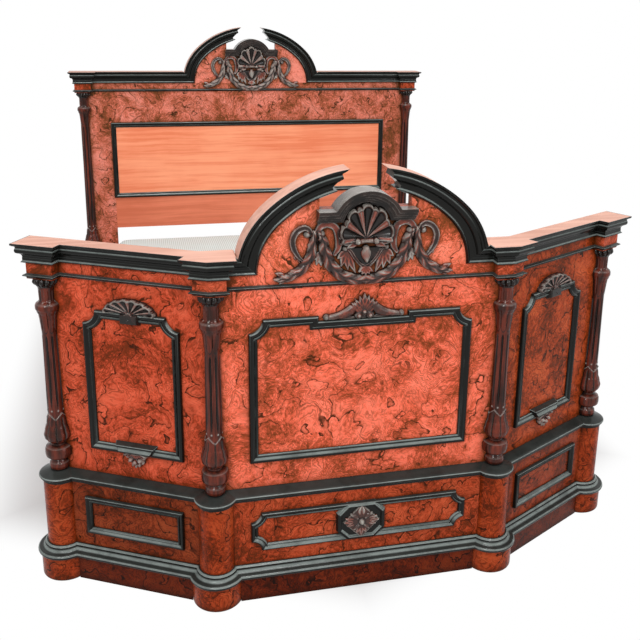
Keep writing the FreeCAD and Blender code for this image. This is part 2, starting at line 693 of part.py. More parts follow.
def capping(path, back_points):
    edge = [point + turn * CAP_EDGE for point, turn in zip(path, mitres(path))]
    return prism(edge + back_points, CAP_LEVEL, CAP_LEVEL + CAP_THICK).cut(mitre_wedge(True))


def shoulders():
    side = CORNICE_HEIGHT + OVERRUN
    low = CORNICE_LEVEL
    high = CORNICE_LEVEL + side
    outline = [(-ARCH_HALF, low), (ARCH_HALF, low), (ARCH_HALF + side, high), (-ARCH_HALF - side, high)]
    return slab(chain(outline), -OVERRUN, OVERRUN)


os.makedirs("parts", exist_ok=True)

# Footboard base
drums = [drum(axis, DRUM_RADIUS + FIT, 0, PLINTH_HEIGHT) for axis in FOOT_LINE]
shafts = [drum(axis, PEDESTAL_RADIUS + FIT, 0, WAIST_LEVEL) for axis in FOOT_LINE]
plinths = strips(FOOT_LINE, PLINTH_FACE, PLINTH_FACE - PLINTH_THICK, 0, PLINTH_HEIGHT)
save("foot_plinth", [board.cut(drums) for board in plinths])
base_boards = strips(FOOT_LINE, BASE_FACE, BASE_FACE - BASE_THICK, PLINTH_HEIGHT, WAIST_LEVEL)
for name, board in zip(("left", "centre", "right"), base_boards):
    save("foot_base_panel_" + name, board.cut(shafts))
drum_foot = [(0, 0), (DRUM_RADIUS - DRUM_EASE, 0, QUARTER_SHARE), (DRUM_RADIUS, DRUM_EASE)]
pedestal = turned(drum_foot + [(DRUM_RADIUS, PLINTH_HEIGHT), (PEDESTAL_RADIUS, PLINTH_HEIGHT),
                               (PEDESTAL_RADIUS, WAIST_LEVEL), (0, WAIST_LEVEL)])
for name, axis in zip(AXIS_NAMES, FOOT_LINE):
    save("foot_pedestal_" + name, moved(pedestal, axis))


# Base and waist mouldings: straight lengths mitred to rings that wrap the drums
def drum_mitre(reach):
    near = math.sqrt(PEDESTAL_RADIUS ** 2 - BASE_FACE ** 2)
    far = math.sqrt((PEDESTAL_RADIUS + reach) ** 2 - (BASE_FACE + reach) ** 2)
    return near, (far - near) / reach


def wrapped(section, ring_section, level, reach, back):
    near, lean = drum_mitre(reach)
    low = level - OVERRUN
    high = WAIST_TOP + OVERRUN
    lengths = []
    zones = [rear_zone(FOOT_LINE, BASE_FACE - back, 0, low, high)]
    for i in range(len(FOOT_LINE) - 1):
        way = heading(FOOT_LINE[i], FOOT_LINE[i + 1])
        span = (FOOT_LINE[i + 1] - FOOT_LINE[i]).Length
        ends = [at(FOOT_LINE, i, near, BASE_FACE), at(FOOT_LINE, i, span - near, BASE_FACE)]
        turns = [outward(way) + way * lean, outward(way) - way * lean]
        lengths.append(moulding(section, ends, level, turns))
        front = [end + turn * (reach + OVERRUN) for end, turn in zip(ends, turns)]
        behind = [end - turn * back for end, turn in zip(ends, turns)]
        zones.append(prism(front + behind[::-1], low, high))
    rings = [ring(ring_section, PEDESTAL_RADIUS, axis, level).cut(zones) for axis in FOOT_LINE]
    return lengths + rings


base_pieces = wrapped(BASE_SECTION, BASE_SECTION, PLINTH_HEIGHT, BASE_REACH, 0)
save("foot_base_moulding", [piece.cut(shafts) for piece in base_pieces])
waist_straight = WAIST_FRONT + [(-WAIST_BACK, WAIST_HEIGHT), (-WAIST_BACK, 0)]
waist_cap = WAIST_FRONT + [(-PEDESTAL_RADIUS, WAIST_HEIGHT), (-PEDESTAL_RADIUS, 0)]
save("foot_waist_moulding", wrapped(waist_straight, waist_cap, WAIST_LEVEL, WAIST_REACH, WAIST_BACK))

# Footboard panels, columns and upper mouldings
foot_panels = strips(FOOT_LINE, PANEL_FACE, PANEL_BACK, WAIST_TOP, CAP_LEVEL, PANEL_RUN)
save("foot_panel_left", foot_panels[0])
save("foot_panel_centre", foot_panels[1].cut(shoulders()))
save("foot_panel_right", foot_panels[2])
foot_column = column(ASTRAGAL_LEVEL - WAIST_TOP)
for name, axis in zip(AXIS_NAMES, FOOT_LINE):
    save("foot_column_" + name, split_column(foot_column, FOOT_LINE, axis))
foot_path = end_break(FOOT_LINE, PANEL_BACK) + corner_break(FOOT_LINE)
astragal_half = moulding(ASTRAGAL_SECTION, foot_path + [V(0, -PANEL_FACE, 0)], ASTRAGAL_LEVEL)
save("foot_astragal", joined(pair(astragal_half)))
cornice_path = foot_path + [V(-ARCH_HALF, -PANEL_FACE, 0)]
cornice = moulding(CORNICE_SECTION, cornice_path, CORNICE_LEVEL).cut(mitre_wedge(True))
save("foot_cornice_left", cornice)
save("foot_cornice_right", mirrored(cornice))
back_edge = ARCH_BACK - PANEL_FACE
wing_back = at(FOOT_LINE, 0, WING_LENGTH, PANEL_BACK)
wing_way = heading(FOOT_LINE[0], FOOT_LINE[1])
back_turn = wing_back + wing_way * ((back_edge - wing_back.y) / wing_way.y)
arch_cap = arch(ARCH_CAP_SECTION)
foot_cap = capping(cornice_path, [V(-ARCH_HALF, back_edge, 0), back_turn])
save("foot_cappings", pair(foot_cap) + pair(arch_cap))

# Pediments, alike on footboard and headboard
arch_left = arch(ARCH_SECTION)
shell = crest_shell()
scroll = crest_scroll()
save("foot_arch_left", arch_left)
save("foot_arch_right", mirrored(arch_left))
save("head_arches", [moved(half, HEAD_SHIFT) for half in pair(arch_left)])
for name, piece in (("tympanum", tympanum()), ("crest_hood", hood()), ("crest_shell", shell)):
    save("foot_" + name, piece)
    save("head_" + name, moved(piece, HEAD_SHIFT))
save("foot_crest_scrolls", pair(scroll))
save("head_crest_scrolls", [moved(half, HEAD_SHIFT) for half in pair(scroll)])

# Applied frames and carving on the footboard
top_run = CENTRE_FRAME_HALF - FRAME_NOTCH
high = FRAME_HIGH
centre_outline = [(-CENTRE_FRAME_HALF, CENTRE_FRAME_LOW),
                  (-CENTRE_FRAME_HALF, high - FRAME_NOTCH, QUARTER_SHARE), (-top_run, high),
                  (-CENTRE_DROP_HALF, high), (-CENTRE_DROP_HALF, high - CENTRE_FRAME_DROP),
                  (CENTRE_DROP_HALF, high - CENTRE_FRAME_DROP), (CENTRE_DROP_HALF, high),
                  (top_run, high, QUARTER_SHARE), (CENTRE_FRAME_HALF, high - FRAME_NOTCH),
                  (CENTRE_FRAME_HALF, CENTRE_FRAME_LOW)]
save("foot_centre_frame", moved(frame(centre_outline, FRAME_WIDTH, FRAME_PROUD), V(0, -PANEL_FACE, 0)))
wing_run = WING_FRAME_HALF - FRAME_NOTCH
wing_outline = [(-WING_FRAME_HALF, WING_FRAME_LOW), (-WING_FRAME_HALF, high - FRAME_NOTCH, QUARTER_SHARE),
                (-wing_run, high), (wing_run, high, QUARTER_SHARE), (WING_FRAME_HALF, high - FRAME_NOTCH),
                (WING_FRAME_HALF, WING_FRAME_LOW)]
wing_frame = frame(wing_outline, FRAME_WIDTH, FRAME_PROUD)
save("foot_wing_frames", wing_sides(wing_frame, WING_FRAME_MID, PANEL_FACE))

cresting_fan = fan(CRESTING_RADIUS, CRESTING_LOBES, CRESTING_SPREAD, CARVING_DEPTH)
cresting_level = FRAME_HIGH - CENTRE_FRAME_DROP
cresting_fan.translate(V(0, 0, cresting_level))
cresting_path = spread(CRESTING_ARM_SHARES, CRESTING_RADIUS, CRESTING_RADIUS)
cresting_arm = moved(joined(branch(cresting_path, [CRESTING_ARM_RADIUS])), V(0, 0, cresting_level))
cresting = joined([cresting_fan] + pair(cresting_arm))
cresting_room = box(-CENTRE_FRAME_HALF, CENTRE_FRAME_HALF, -OVERRUN, 0, CENTRE_FRAME_LOW, CORNICE_LEVEL)
cresting_front = cresting.common(cresting_room).cut(slab(chain(centre_outline), -OVERRUN, OVERRUN))
save("foot_centre_cresting", moved(cresting_front, V(0, -PANEL_FACE, 0)))

wing_shell = fan(WING_SHELL_RADIUS, WING_SHELL_LOBES, WING_SHELL_SPREAD, WING_SHELL_DEPTH)
wing_shell.translate(V(0, 0, FRAME_HIGH - WING_SHELL_SINK))
above_frame = box(-WING_FRAME_HALF, WING_FRAME_HALF, -OVERRUN, 0, FRAME_HIGH, CORNICE_LEVEL)
tablet_low = FRAME_HIGH - FRAME_WIDTH - TABLET_DROP
tablet = box(-TABLET_HALF, TABLET_HALF, -CARVING_DEPTH, 0, tablet_low, FRAME_HIGH + TABLET_LAP)
wing_crest = joined([wing_shell.common(above_frame), tablet]).cut(wing_frame)
save("foot_wing_shells", wing_sides(wing_crest, WING_FRAME_MID, PANEL_FACE))
drop_top = DROP_LOW + DROP_HEIGHT
drop_block = slab(chain([(-DROP_LOW_HALF, DROP_LOW), (-DROP_TOP_HALF, drop_top), (DROP_TOP_HALF, drop_top),
                         (DROP_LOW_HALF, DROP_LOW)]), -CARVING_DEPTH, 0)
pendant = fan(DROP_RADIUS, DROP_LOBES, DROP_SPREAD, CARVING_DEPTH)
pendant.rotate(V(0, 0, 0), BACKWARD, 180)
pendant.translate(V(0, 0, DROP_LOW + DROP_LAP))
wing_drop = joined([drop_block, pendant]).cut(wing_frame)
save("foot_wing_drops", wing_sides(wing_drop, WING_FRAME_MID, PANEL_FACE))

base_run = CENTRE_BASE_HALF - BASE_NOTCH
base_low = BASE_FRAME_LOW
base_high = BASE_FRAME_HIGH
base_outline = [(-base_run, base_low, QUARTER_SHARE), (-CENTRE_BASE_HALF, base_low + BASE_NOTCH),
                (-CENTRE_BASE_HALF, base_high - BASE_NOTCH, QUARTER_SHARE), (-base_run, base_high),
                (base_run, base_high, QUARTER_SHARE), (CENTRE_BASE_HALF, base_high - BASE_NOTCH),
                (CENTRE_BASE_HALF, base_low + BASE_NOTCH, QUARTER_SHARE), (base_run, base_low)]
base_frame = frame(base_outline, BASE_FRAME_WIDTH, FRAME_PROUD)
wing_base_outline = [(-WING_BASE_HALF, base_low), (-WING_BASE_HALF, base_high), (WING_BASE_HALF, base_high),
                     (WING_BASE_HALF, base_low)]
wing_base_frame = frame(wing_base_outline, BASE_FRAME_WIDTH, FRAME_PROUD)
save("foot_wing_base_frames", wing_sides(wing_base_frame, WING_BASE_MID, BASE_FACE))
plate_outline = [(-ROSETTE_HALF, -ROSETTE_CORNER), (-ROSETTE_HALF, ROSETTE_CORNER),
                 (-ROSETTE_CORNER, ROSETTE_RISE), (ROSETTE_CORNER, ROSETTE_RISE),
                 (ROSETTE_HALF, ROSETTE_CORNER), (ROSETTE_HALF, -ROSETTE_CORNER),
                 (ROSETTE_CORNER, -ROSETTE_RISE), (-ROSETTE_CORNER, -ROSETTE_RISE)]
plate = slab(chain(plate_outline), -ROSETTE_PLATE, 0)
flower = moved(fan(ROSETTE_RADIUS, ROSETTE_LOBES, 360, CARVING_DEPTH), V(0, -ROSETTE_PLATE, 0))
rosette = moved(joined([plate, flower]), V(0, 0, ROSETTE_LEVEL))
save("foot_rosette", moved(rosette, V(0, -BASE_FACE, 0)))
save("foot_centre_base_frame", moved(largest(base_frame.cut(rosette)), V(0, -BASE_FACE, 0)))

# Headboard: posts with rails tenoned between them and a tongued panel
face = BED_LENGTH - PANEL_FACE
rear = BED_LENGTH - PANEL_BACK
head_top = CAP_LEVEL + HEAD_RISE
tongue_front = face + (HEAD_PANEL_THICK - TONGUE_THICK) * HALF_SHARE
tongue_back = tongue_front + TONGUE_THICK
top_rail_low = HEAD_FRAME_HIGH - FRAME_LAP
tongue_edge = STILE_EDGE + TONGUE_LENGTH
tongue = (-tongue_edge, tongue_edge, tongue_front, tongue_back, HEAD_RAIL_TOP - TONGUE_LENGTH,
          top_rail_low + TONGUE_LENGTH)
panel = box(-STILE_EDGE, STILE_EDGE, face, face + HEAD_PANEL_THICK, HEAD_RAIL_TOP, top_rail_low)
save("head_panel", panel.fuse(box(*tongue)).removeSplitter())
groove = grown(*tongue)
tenon_front = (face + rear - TENON_THICK) * HALF_SHARE
tenon_edge = STILE_EDGE + TENON_LENGTH
low_tenon = (-tenon_edge, tenon_edge, tenon_front, tenon_front + TENON_THICK, HEAD_RAIL_LOW + TENON_SHOULDER,
             HEAD_RAIL_TOP - TENON_SHOULDER)
top_tenon = (-tenon_edge, tenon_edge, tenon_front, tenon_front + TENON_THICK, top_rail_low + TENON_SHOULDER,
             head_top - TENON_SHOULDER)
low_rail = box(-STILE_EDGE, STILE_EDGE, face, rear, HEAD_RAIL_LOW, HEAD_RAIL_TOP).fuse(box(*low_tenon))
top_rail = box(-STILE_EDGE, STILE_EDGE, face, rear, top_rail_low, head_top).fuse(box(*top_tenon))
save("head_bottom_rail", low_rail.cut(groove).removeSplitter())
save("head_top_rail", top_rail.cut([groove, moved(shoulders(), HEAD_SHIFT)]).removeSplitter())
head_outline = [(-HEAD_FRAME_HALF, HEAD_FRAME_LOW), (-HEAD_FRAME_HALF, HEAD_FRAME_HIGH),
                (HEAD_FRAME_HALF, HEAD_FRAME_HIGH), (HEAD_FRAME_HALF, HEAD_FRAME_LOW)]
save("head_panel_frame", moved(frame(head_outline, FRAME_WIDTH, FRAME_PROUD), V(0, face, 0)))

# Bed hooks: plates let into the rail ends whose fingers drop over pins in the posts
hook_low = RAIL_LOW + HOOK_LIFT
hook_left = -RAIL_MID - HOOK_THICK * HALF_SHARE
hook_right = -RAIL_MID + HOOK_THICK * HALF_SHARE
pin_half = HOOK_PIN_LENGTH * HALF_SHARE


def hook_pin(joint, way, level, radius):
    start = V(-RAIL_MID - pin_half, joint + way * HOOK_PIN_DEPTH, level)
    return rod(radius, start, start + V(HOOK_PIN_LENGTH, 0, 0))


def hook_box(joint, way, near, far, low, top, play):
    front, back = sorted((joint + way * near, joint + way * far))
    return box(hook_left - play, hook_right + play, front, back, low, top)


def hook(joint, way):
    plate = hook_box(joint, way, -HOOK_TAIL, 0, hook_low, hook_low + HOOK_HEIGHT, 0)
    fingers = []
    slots = []
    for level in (hook_low, hook_low + HOOK_PIN_PITCH):
        pin = level + HOOK_PIN_LOW
        slot = HOOK_PIN_RADIUS + HOOK_PLAY
        fingers.append(hook_box(joint, way, 0, HOOK_NOSE, level, level + HOOK_FINGER, 0))
        slots.append(hook_box(joint, way, HOOK_PIN_DEPTH - slot, HOOK_PIN_DEPTH + slot, level, pin, 0))
        slots.append(hook_pin(joint, way, pin, slot))
    return joined([plate] + fingers).cut(slots)


def hook_pins(joint, way, radius):
    levels = (hook_low + HOOK_PIN_LOW, hook_low + HOOK_PIN_LOW + HOOK_PIN_PITCH)
    return [hook_pin(joint, way, level, radius) for level in levels]


def hook_mortise(joint, way):
    low = hook_low - HOOK_PLAY
    slot = hook_box(joint, way, 0, HOOK_NOSE + HOOK_PLAY, low, hook_low + HOOK_HEIGHT, HOOK_PLAY)
    return [slot] + hook_pins(joint, way, HOOK_PIN_RADIUS + FIT)


def hook_kerf(joint, way):
    return hook_box(joint, way, -HOOK_TAIL - FIT, 0, hook_low - FIT, hook_low + HOOK_HEIGHT + FIT, FIT)


ENDS = ((RAIL_POST_BACK, -1), (face, 1))
hooks = [hook(joint, way) for joint, way in ENDS]
pins = [pin for joint, way in ENDS for pin in hook_pins(joint, way, HOOK_PIN_RADIUS)]
save("bed_hooks", hooks + [mirrored(piece) for piece in hooks])
save("hook_pins", pins + [mirrored(piece) for piece in pins])

# Posts
post = box(-OUTER_HALF - PANEL_RUN, -STILE_EDGE, face, rear, 0, head_top)
post = post.cut([groove, grown(*low_tenon), grown(*top_tenon)] + hook_mortise(*ENDS[1]))
save("head_post_left", post)
save("head_post_right", mirrored(post))


def wing_back_at(across):
    way = heading(FOOT_LINE[0], FOOT_LINE[1])
    start = at(FOOT_LINE, 0, 0, PANEL_BACK)
    return start + way * ((across - start.x) / way.x)


post_left = -RAIL_MID - RAIL_POST_HALF
post_right = -RAIL_MID + RAIL_POST_HALF
post_plan = [wing_back_at(post_left), wing_back_at(post_right), V(post_right, RAIL_POST_BACK, 0),
             V(post_left, RAIL_POST_BACK, 0)]
rail_post = prism(post_plan, 0, RAIL_POST_TOP)
rail_post = rail_post.cut([drum(FOOT_LINE[0], FRONT_REACH + FIT, 0, WAIST_TOP)] + hook_mortise(*ENDS[0]))
save("foot_rail_posts", pair(rail_post))

# Headboard columns on half pedestals, housed round the rails, with the upper mouldings
rail_left = -RAIL_MID - RAIL_THICK * HALF_SHARE
rail_right = -RAIL_MID + RAIL_THICK * HALF_SHARE
head_local = [V(-OUTER_HALF, 0, 0), V(OUTER_HALF, 0, 0)]
head_zone = rear_zone(HEAD_LINE, PANEL_FACE, OVERRUN + OVERRUN, 0, WAIST_TOP)
pedestal_turning = joined([pedestal, ring(BASE_SECTION, PEDESTAL_RADIUS, V(0, 0, 0), PLINTH_HEIGHT),
                           ring(waist_cap, PEDESTAL_RADIUS, V(0, 0, 0), WAIST_LEVEL)])
rail_room = grown(rail_left, rail_right, RAIL_POST_BACK, face, RAIL_LOW, RAIL_LOW + RAIL_HEIGHT)
save("head_pedestals", pair(moved(pedestal_turning, HEAD_LINE[0]).cut([head_zone, rail_room])))
head_column = column(ASTRAGAL_LEVEL + HEAD_RISE - WAIST_TOP)
save("head_columns", pair(split_column(head_column, HEAD_LINE, HEAD_LINE[0])))
head_path = end_break(head_local, -back_edge)
head_astragal = moulding(ASTRAGAL_SECTION, head_path + [V(0, -PANEL_FACE, 0)], ASTRAGAL_LEVEL)
save("head_astragal", moved(joined(pair(head_astragal)), HEAD_SHIFT))
head_cornice_path = head_path + [V(-ARCH_HALF, -PANEL_FACE, 0)]
head_cornice = moulding(CORNICE_SECTION, head_cornice_path, CORNICE_LEVEL).cut(mitre_wedge(True))
save("head_cornices", [moved(half, HEAD_SHIFT) for half in pair(head_cornice)])
head_cap = capping(head_cornice_path, [V(-ARCH_HALF, back_edge, 0)])
save("head_cappings", [moved(half, HEAD_SHIFT) for half in pair(head_cap) + pair(arch_cap)])
head_block = moved(end_block(head_local), HEAD_SHIFT)
save("frieze_blocks", pair(end_block(FOOT_LINE)) + pair(corner_block(FOOT_LINE)) + pair(head_block))

# Side rails, ledgers and slats
side_rail = box(rail_left, rail_right, RAIL_POST_BACK, face, RAIL_LOW, RAIL_LOW + RAIL_HEIGHT)
side_rail = side_rail.cut([hook_kerf(joint, way) for joint, way in ENDS])
save("side_rail_left", side_rail)
save("side_rail_right", mirrored(side_rail))
ledger_low = RAIL_LOW + LEDGER_LIFT
slat_low = ledger_low + LEDGER_SIDE
save("ledgers", pair(box(rail_right, rail_right + LEDGER_SIDE, RAIL_POST_BACK, face, ledger_low, slat_low)))
slat_start = RAIL_POST_BACK + SLAT_INSET
slat_pitch = (face - SLAT_INSET - SLAT_WIDTH - slat_start) / (SLAT_COUNT - 1)
slat_left = rail_right + HOOK_PLAY
slat = box(slat_left, -slat_left, slat_start, slat_start + SLAT_WIDTH, slat_low, slat_low + SLAT_THICK)
save("slats", [moved(slat, V(0, i * slat_pitch, 0)) for i in range(SLAT_COUNT)])


# Mattress: rounded plan with drawn-in sides, full at the border and crowned on top
def mattress_ring(level, inset):
    half_long = MATTRESS_LENGTH * HALF_SHARE - inset
    half_wide = MATTRESS_HALF - inset
    stem_long = half_long - MATTRESS_CORNER
    stem_wide = half_wide - MATTRESS_CORNER
    knee = MATTRESS_CORNER / math.sqrt(2)
    edges = []
    for turn, across, along in ((0, stem_wide, stem_long), (1, stem_long, stem_wide),
                                (2, stem_wide, stem_long), (3, stem_long, stem_wide)):
        side = across + MATTRESS_CORNER
        end = along + MATTRESS_CORNER
        flank = Part.Arc(V(side, -along, 0), V(side - MATTRESS_DRAW, 0, 0), V(side, along, 0)).toShape()
        corner = Part.Arc(V(side, along, 0), V(across + knee, along + knee, 0), V(across, end, 0)).toShape()
        for edge in (flank, corner):
            edge.rotate(V(0, 0, 0), UP, 90 * turn)
            edges.append(edge)
    wire = Part.Wire(edges)
    wire.translate(V(0, (face + RAIL_POST_BACK) * HALF_SHARE, slat_low + SLAT_THICK + FIT + level))
    return wire


mattress_levels = spread(MATTRESS_SHARES, MATTRESS_CROWN, MATTRESS_HEIGHT)
save("mattress", Part.makeLoft([mattress_ring(level, inset) for inset, level in mattress_levels], True, True))
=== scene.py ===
import functools
import json
import math

import bmesh
import bpy
import numpy as np
from mathutils import Matrix, Vector


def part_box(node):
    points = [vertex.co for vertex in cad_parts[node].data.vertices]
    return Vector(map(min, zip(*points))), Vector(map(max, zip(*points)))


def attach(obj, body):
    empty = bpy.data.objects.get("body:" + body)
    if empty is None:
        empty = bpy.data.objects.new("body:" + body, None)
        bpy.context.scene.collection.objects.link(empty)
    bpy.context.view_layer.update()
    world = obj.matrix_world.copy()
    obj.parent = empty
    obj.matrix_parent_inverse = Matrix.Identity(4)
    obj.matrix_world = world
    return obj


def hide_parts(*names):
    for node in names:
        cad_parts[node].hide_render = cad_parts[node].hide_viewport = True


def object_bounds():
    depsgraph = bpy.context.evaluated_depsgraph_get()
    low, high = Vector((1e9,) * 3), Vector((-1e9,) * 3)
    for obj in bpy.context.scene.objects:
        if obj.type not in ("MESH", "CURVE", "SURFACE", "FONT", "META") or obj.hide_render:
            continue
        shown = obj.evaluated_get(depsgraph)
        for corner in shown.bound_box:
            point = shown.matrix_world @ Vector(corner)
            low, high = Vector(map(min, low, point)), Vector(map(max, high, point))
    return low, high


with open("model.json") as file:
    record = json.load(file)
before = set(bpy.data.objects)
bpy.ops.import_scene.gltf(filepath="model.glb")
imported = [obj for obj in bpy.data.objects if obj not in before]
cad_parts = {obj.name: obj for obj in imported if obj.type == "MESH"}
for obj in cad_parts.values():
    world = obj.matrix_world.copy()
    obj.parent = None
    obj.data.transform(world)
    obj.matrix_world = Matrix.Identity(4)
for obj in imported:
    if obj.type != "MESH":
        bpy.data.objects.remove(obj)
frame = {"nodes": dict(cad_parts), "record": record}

cad_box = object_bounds()
BODY = "bedstead"
MM = 0.001

# Camera, fitted to the photograph
CAMERA_PLACE = Vector((-0.522, -2.968, 1.510))
CAMERA_YAW = 0.235
CAMERA_PITCH = -0.271
CAMERA_ROLL = 0.017
CAMERA_LENS = 47.17
CAMERA_SHIFT = (-0.03125, -0.125)

# Studio: lamps as place, aim, size in metres and power in watts
LAMPS = {
    "key": ((-2.2, -4.6, 3.8), (0.0, -0.9, 0.8), 1.7, 108.0),
    "fill": ((3.6, -4.0, 2.6), (0.3, -0.8, 0.7), 3.0, 34.0),
    "top": ((0.0, -1.2, 4.2), (0.0, -0.3, 0.8), 2.0, 88.0),
    "glint_left": ((-1.9, -4.2, 2.3), (-0.2, -1.0, 0.6), 0.4, 15.0),
    "glint_right": ((2.3, -4.2, 2.5), (0.2, -1.0, 0.6), 0.4, 13.0),
    "glint_top": ((0.2, -2.9, 3.4), (0.0, -1.0, 0.7), 0.4, 13.0),
}
WORLD_STRENGTH = 0.42
FLOOR_HALF = 30.0
FLOOR_FADE = 0.27
FLOOR_COLOUR = (0.57, 0.57, 0.57, 1.0)
WHITE = (1.0, 1.0, 1.0, 1.0)

# Colours in linear light
BRIGHT_BURL = (0.97, 0.215, 0.125)
CLEAR_BURL = (0.86, 0.160, 0.085)
WARM_BURL = (0.66, 0.104, 0.046)
BROWN_BURL = (0.26, 0.048, 0.015)
DARK_BURL = (0.125, 0.032, 0.007)
VEIN = (0.045, 0.014, 0.004)
EBONY = (0.006, 0.006, 0.005)
EBONY_WORN_AND_SHEEN = (0.24, 0.275, 0.26)
MAHOGANY_DARK = (0.026, 0.007, 0.004)
MAHOGANY = (0.140, 0.023, 0.011)
CARVED_DARK = (0.010, 0.008, 0.007)
CARVED_BROWN = (0.060, 0.024, 0.018)
CARVED_RED = (0.25, 0.050, 0.028)
CARVED_GREY = (0.20, 0.165, 0.145)
CARVED_SHEEN = (0.31, 0.30, 0.27)
HOOD_BROWN = (0.034, 0.020, 0.016)
# Pale of dust and rubbed edges, also used for painted highlights
CARVED_DUST_AND_SHEEN = (0.47, 0.44, 0.40)
PANEL_LIGHT = (0.92, 0.34, 0.185)
PANEL_DARK = (0.78, 0.21, 0.10)
RAIL_LIGHT = (0.72, 0.205, 0.11)
RAIL_DARK = (0.56, 0.135, 0.065)
TOP_LIGHT = (0.64, 0.365, 0.28)
TOP_DARK = (0.47, 0.23, 0.165)
PINE_LIGHT = (0.62, 0.42, 0.24)
PINE_DARK = (0.45, 0.27, 0.14)
IRON = (0.05, 0.048, 0.046)
TICKING = (0.71, 0.82, 0.80)
TICKING_STRIPE = (0.30, 0.36, 0.31)

# All materials
MIDDLE = (0.5, 0.5, 0.5)
DETAIL_SPAN = (0.3, 0.7)
BUMP_REACH = 0.001
EDGE_SPAN = (0.80, 0.99)
EDGE_SAMPLES = 4
HOLLOW_SAMPLES = 6


class Nodes:
    """A node tree, with short names for adding to it."""

    def __init__(self, tree):
        self.nodes = tree.nodes
        self.links = tree.links

    def add(self, kind, inputs=None, **settings):
        node = self.nodes.new(kind)
        for key, value in settings.items():
            setattr(node, key, value)
        for key, value in (inputs or {}).items():
            self.feed(node.inputs[key], value)
        return node

    def feed(self, socket, value):
        if isinstance(value, bpy.types.NodeSocket):
            self.links.new(value, socket)
        elif isinstance(value, (tuple, list)) and len(value) == 3 and socket.type == "RGBA":
            socket.default_value = (*value, 1.0)
        else:
            socket.default_value = value

    def math(self, operation, first, second=0.0):
        return self.add("ShaderNodeMath", {0: first, 1: second}, operation=operation).outputs[0]

    def times(self, first, second):
        return self.math("MULTIPLY", first, second)

    def seen(self):
        """One for rays that the camera sees, straight or by way of another surface."""
        path = self.add("ShaderNodeLightPath").outputs
        straight = self.math("MAXIMUM", path["Is Camera Ray"], path["Is Glossy Ray"])
        return self.math("MAXIMUM", straight, path["Is Transmission Ray"])


class Look(Nodes):
    """A node material, built from its texture coordinates up to its shader."""

    def __init__(self, name):
        self.material = bpy.data.materials.new(name)
        self.material.use_nodes = True
        super().__init__(self.material.node_tree)
        self.shader = self.nodes["Principled BSDF"]
        self.place = self.add("ShaderNodeTexCoord").outputs["Object"]
        self.colour = None

    def set(self, **values):
        for key, value in values.items():
            self.feed(self.shader.inputs[key.replace("_", " ")], value)

    def over(self, colour, *masks):
        """Lay a colour over what is there, by the product of its masks."""
        self.colour = self.mix(functools.reduce(self.times, masks), self.colour, colour)

    def under(self, colour, mask):
        """Let a colour show through where the mask is low."""
        self.colour = self.mix(mask, colour, self.colour)

    def finish(self, detail, smooth, rough, specular, relief):
        """Hand the colour to the shader; its gloss and a fine bump follow the detail."""
        roughness = self.span(detail, *DETAIL_SPAN, smooth, rough)
        self.set(Base_Color=self.colour, Roughness=roughness, Specular_IOR_Level=specular)
        self.bump(detail, relief, BUMP_REACH)
        return self.material

    def vector(self, operation, first, second):
        return self.add("ShaderNodeVectorMath", {0: first, 1: second}, operation=operation).outputs

    def moved(self, offset, turn):
        inputs = {"Vector": self.place, "Location": offset, "Rotation": turn}
        return self.add("ShaderNodeMapping", inputs).outputs[0]

    def noise_outputs(self, vector, scale, detail, rough=0.55, distortion=0.0):
        inputs = {"Vector": vector, "Scale": scale, "Detail": detail, "Roughness": rough,
                  "Distortion": distortion}
        return self.add("ShaderNodeTexNoise", inputs).outputs

    def noise(self, vector, *values):
        return self.noise_outputs(vector, *values)["Fac"]

    def warped(self, vector, scale, reach, detail):
        swirl = self.noise_outputs(vector, scale, detail)["Color"]
        centred = self.vector("SUBTRACT", swirl, MIDDLE)[0]
        shift = self.add("ShaderNodeVectorMath", {0: centred, "Scale": reach}, operation="SCALE").outputs[0]
        return self.vector("ADD", vector, shift)[0]

    def steps(self, value, count):
        """The share of the way through each of a count of equal steps."""
        return self.math("FRACT", self.times(value, count))

    def span(self, value, low, high, start=0.0, stop=1.0):
        inputs = {"Value": value, "From Min": low, "From Max": high, "To Min": start, "To Max": stop}
        return self.add("ShaderNodeMapRange", inputs, interpolation_type="SMOOTHSTEP").outputs[0]

    def ridge(self, value, width):
        distance = self.math("ABSOLUTE", self.math("SUBTRACT", value, 0.5))
        return self.span(distance, 0.0, width, 1.0, 0.0)

    def ramp(self, value, stops):
        node = self.add("ShaderNodeValToRGB", {"Fac": value})
        elements = node.color_ramp.elements
        while len(elements) < len(stops):
            elements.new(0.5)
        for element, (place, colour) in zip(elements, stops):
            element.position = place
            element.color = (*colour, 1.0)
        return node.outputs["Color"]

    def mix(self, amount, first, second):
        node = self.add("ShaderNodeMix", data_type="RGBA")
        for name, value in (("Factor_Float", amount), ("A_Color", first), ("B_Color", second)):
            self.feed(next(socket for socket in node.inputs if socket.identifier == name), value)
        return next(socket for socket in node.outputs if socket.identifier == "Result_Color")

    def bump(self, height, strength, distance):
        node = self.add("ShaderNodeBump", {"Height": height, "Strength": strength, "Distance": distance})
        self.set(Normal=node.outputs[0])

    def attribute(self, name):
        return self.add("ShaderNodeAttribute", attribute_name=name).outputs["Fac"]

    def normal(self):
        return self.add("ShaderNodeNewGeometry").outputs["Normal"]

    def split(self, vector):
        return self.add("ShaderNodeSeparateXYZ", {"Vector": vector}).outputs

    def edges(self, radius):
        soft = self.add("ShaderNodeBevel", {"Radius": radius}, samples=EDGE_SAMPLES).outputs[0]
        likeness = self.vector("DOT_PRODUCT", soft, self.normal())["Value"]
        return self.span(likeness, *EDGE_SPAN, 1.0, 0.0)

    def upward(self, *values):
        return self.span(self.split(self.normal())["Z"], *values)

    def hollows(self, distance):
        inputs = {"Distance": distance}
        return self.add("ShaderNodeAmbientOcclusion", inputs, samples=HOLLOW_SAMPLES).outputs["AO"]


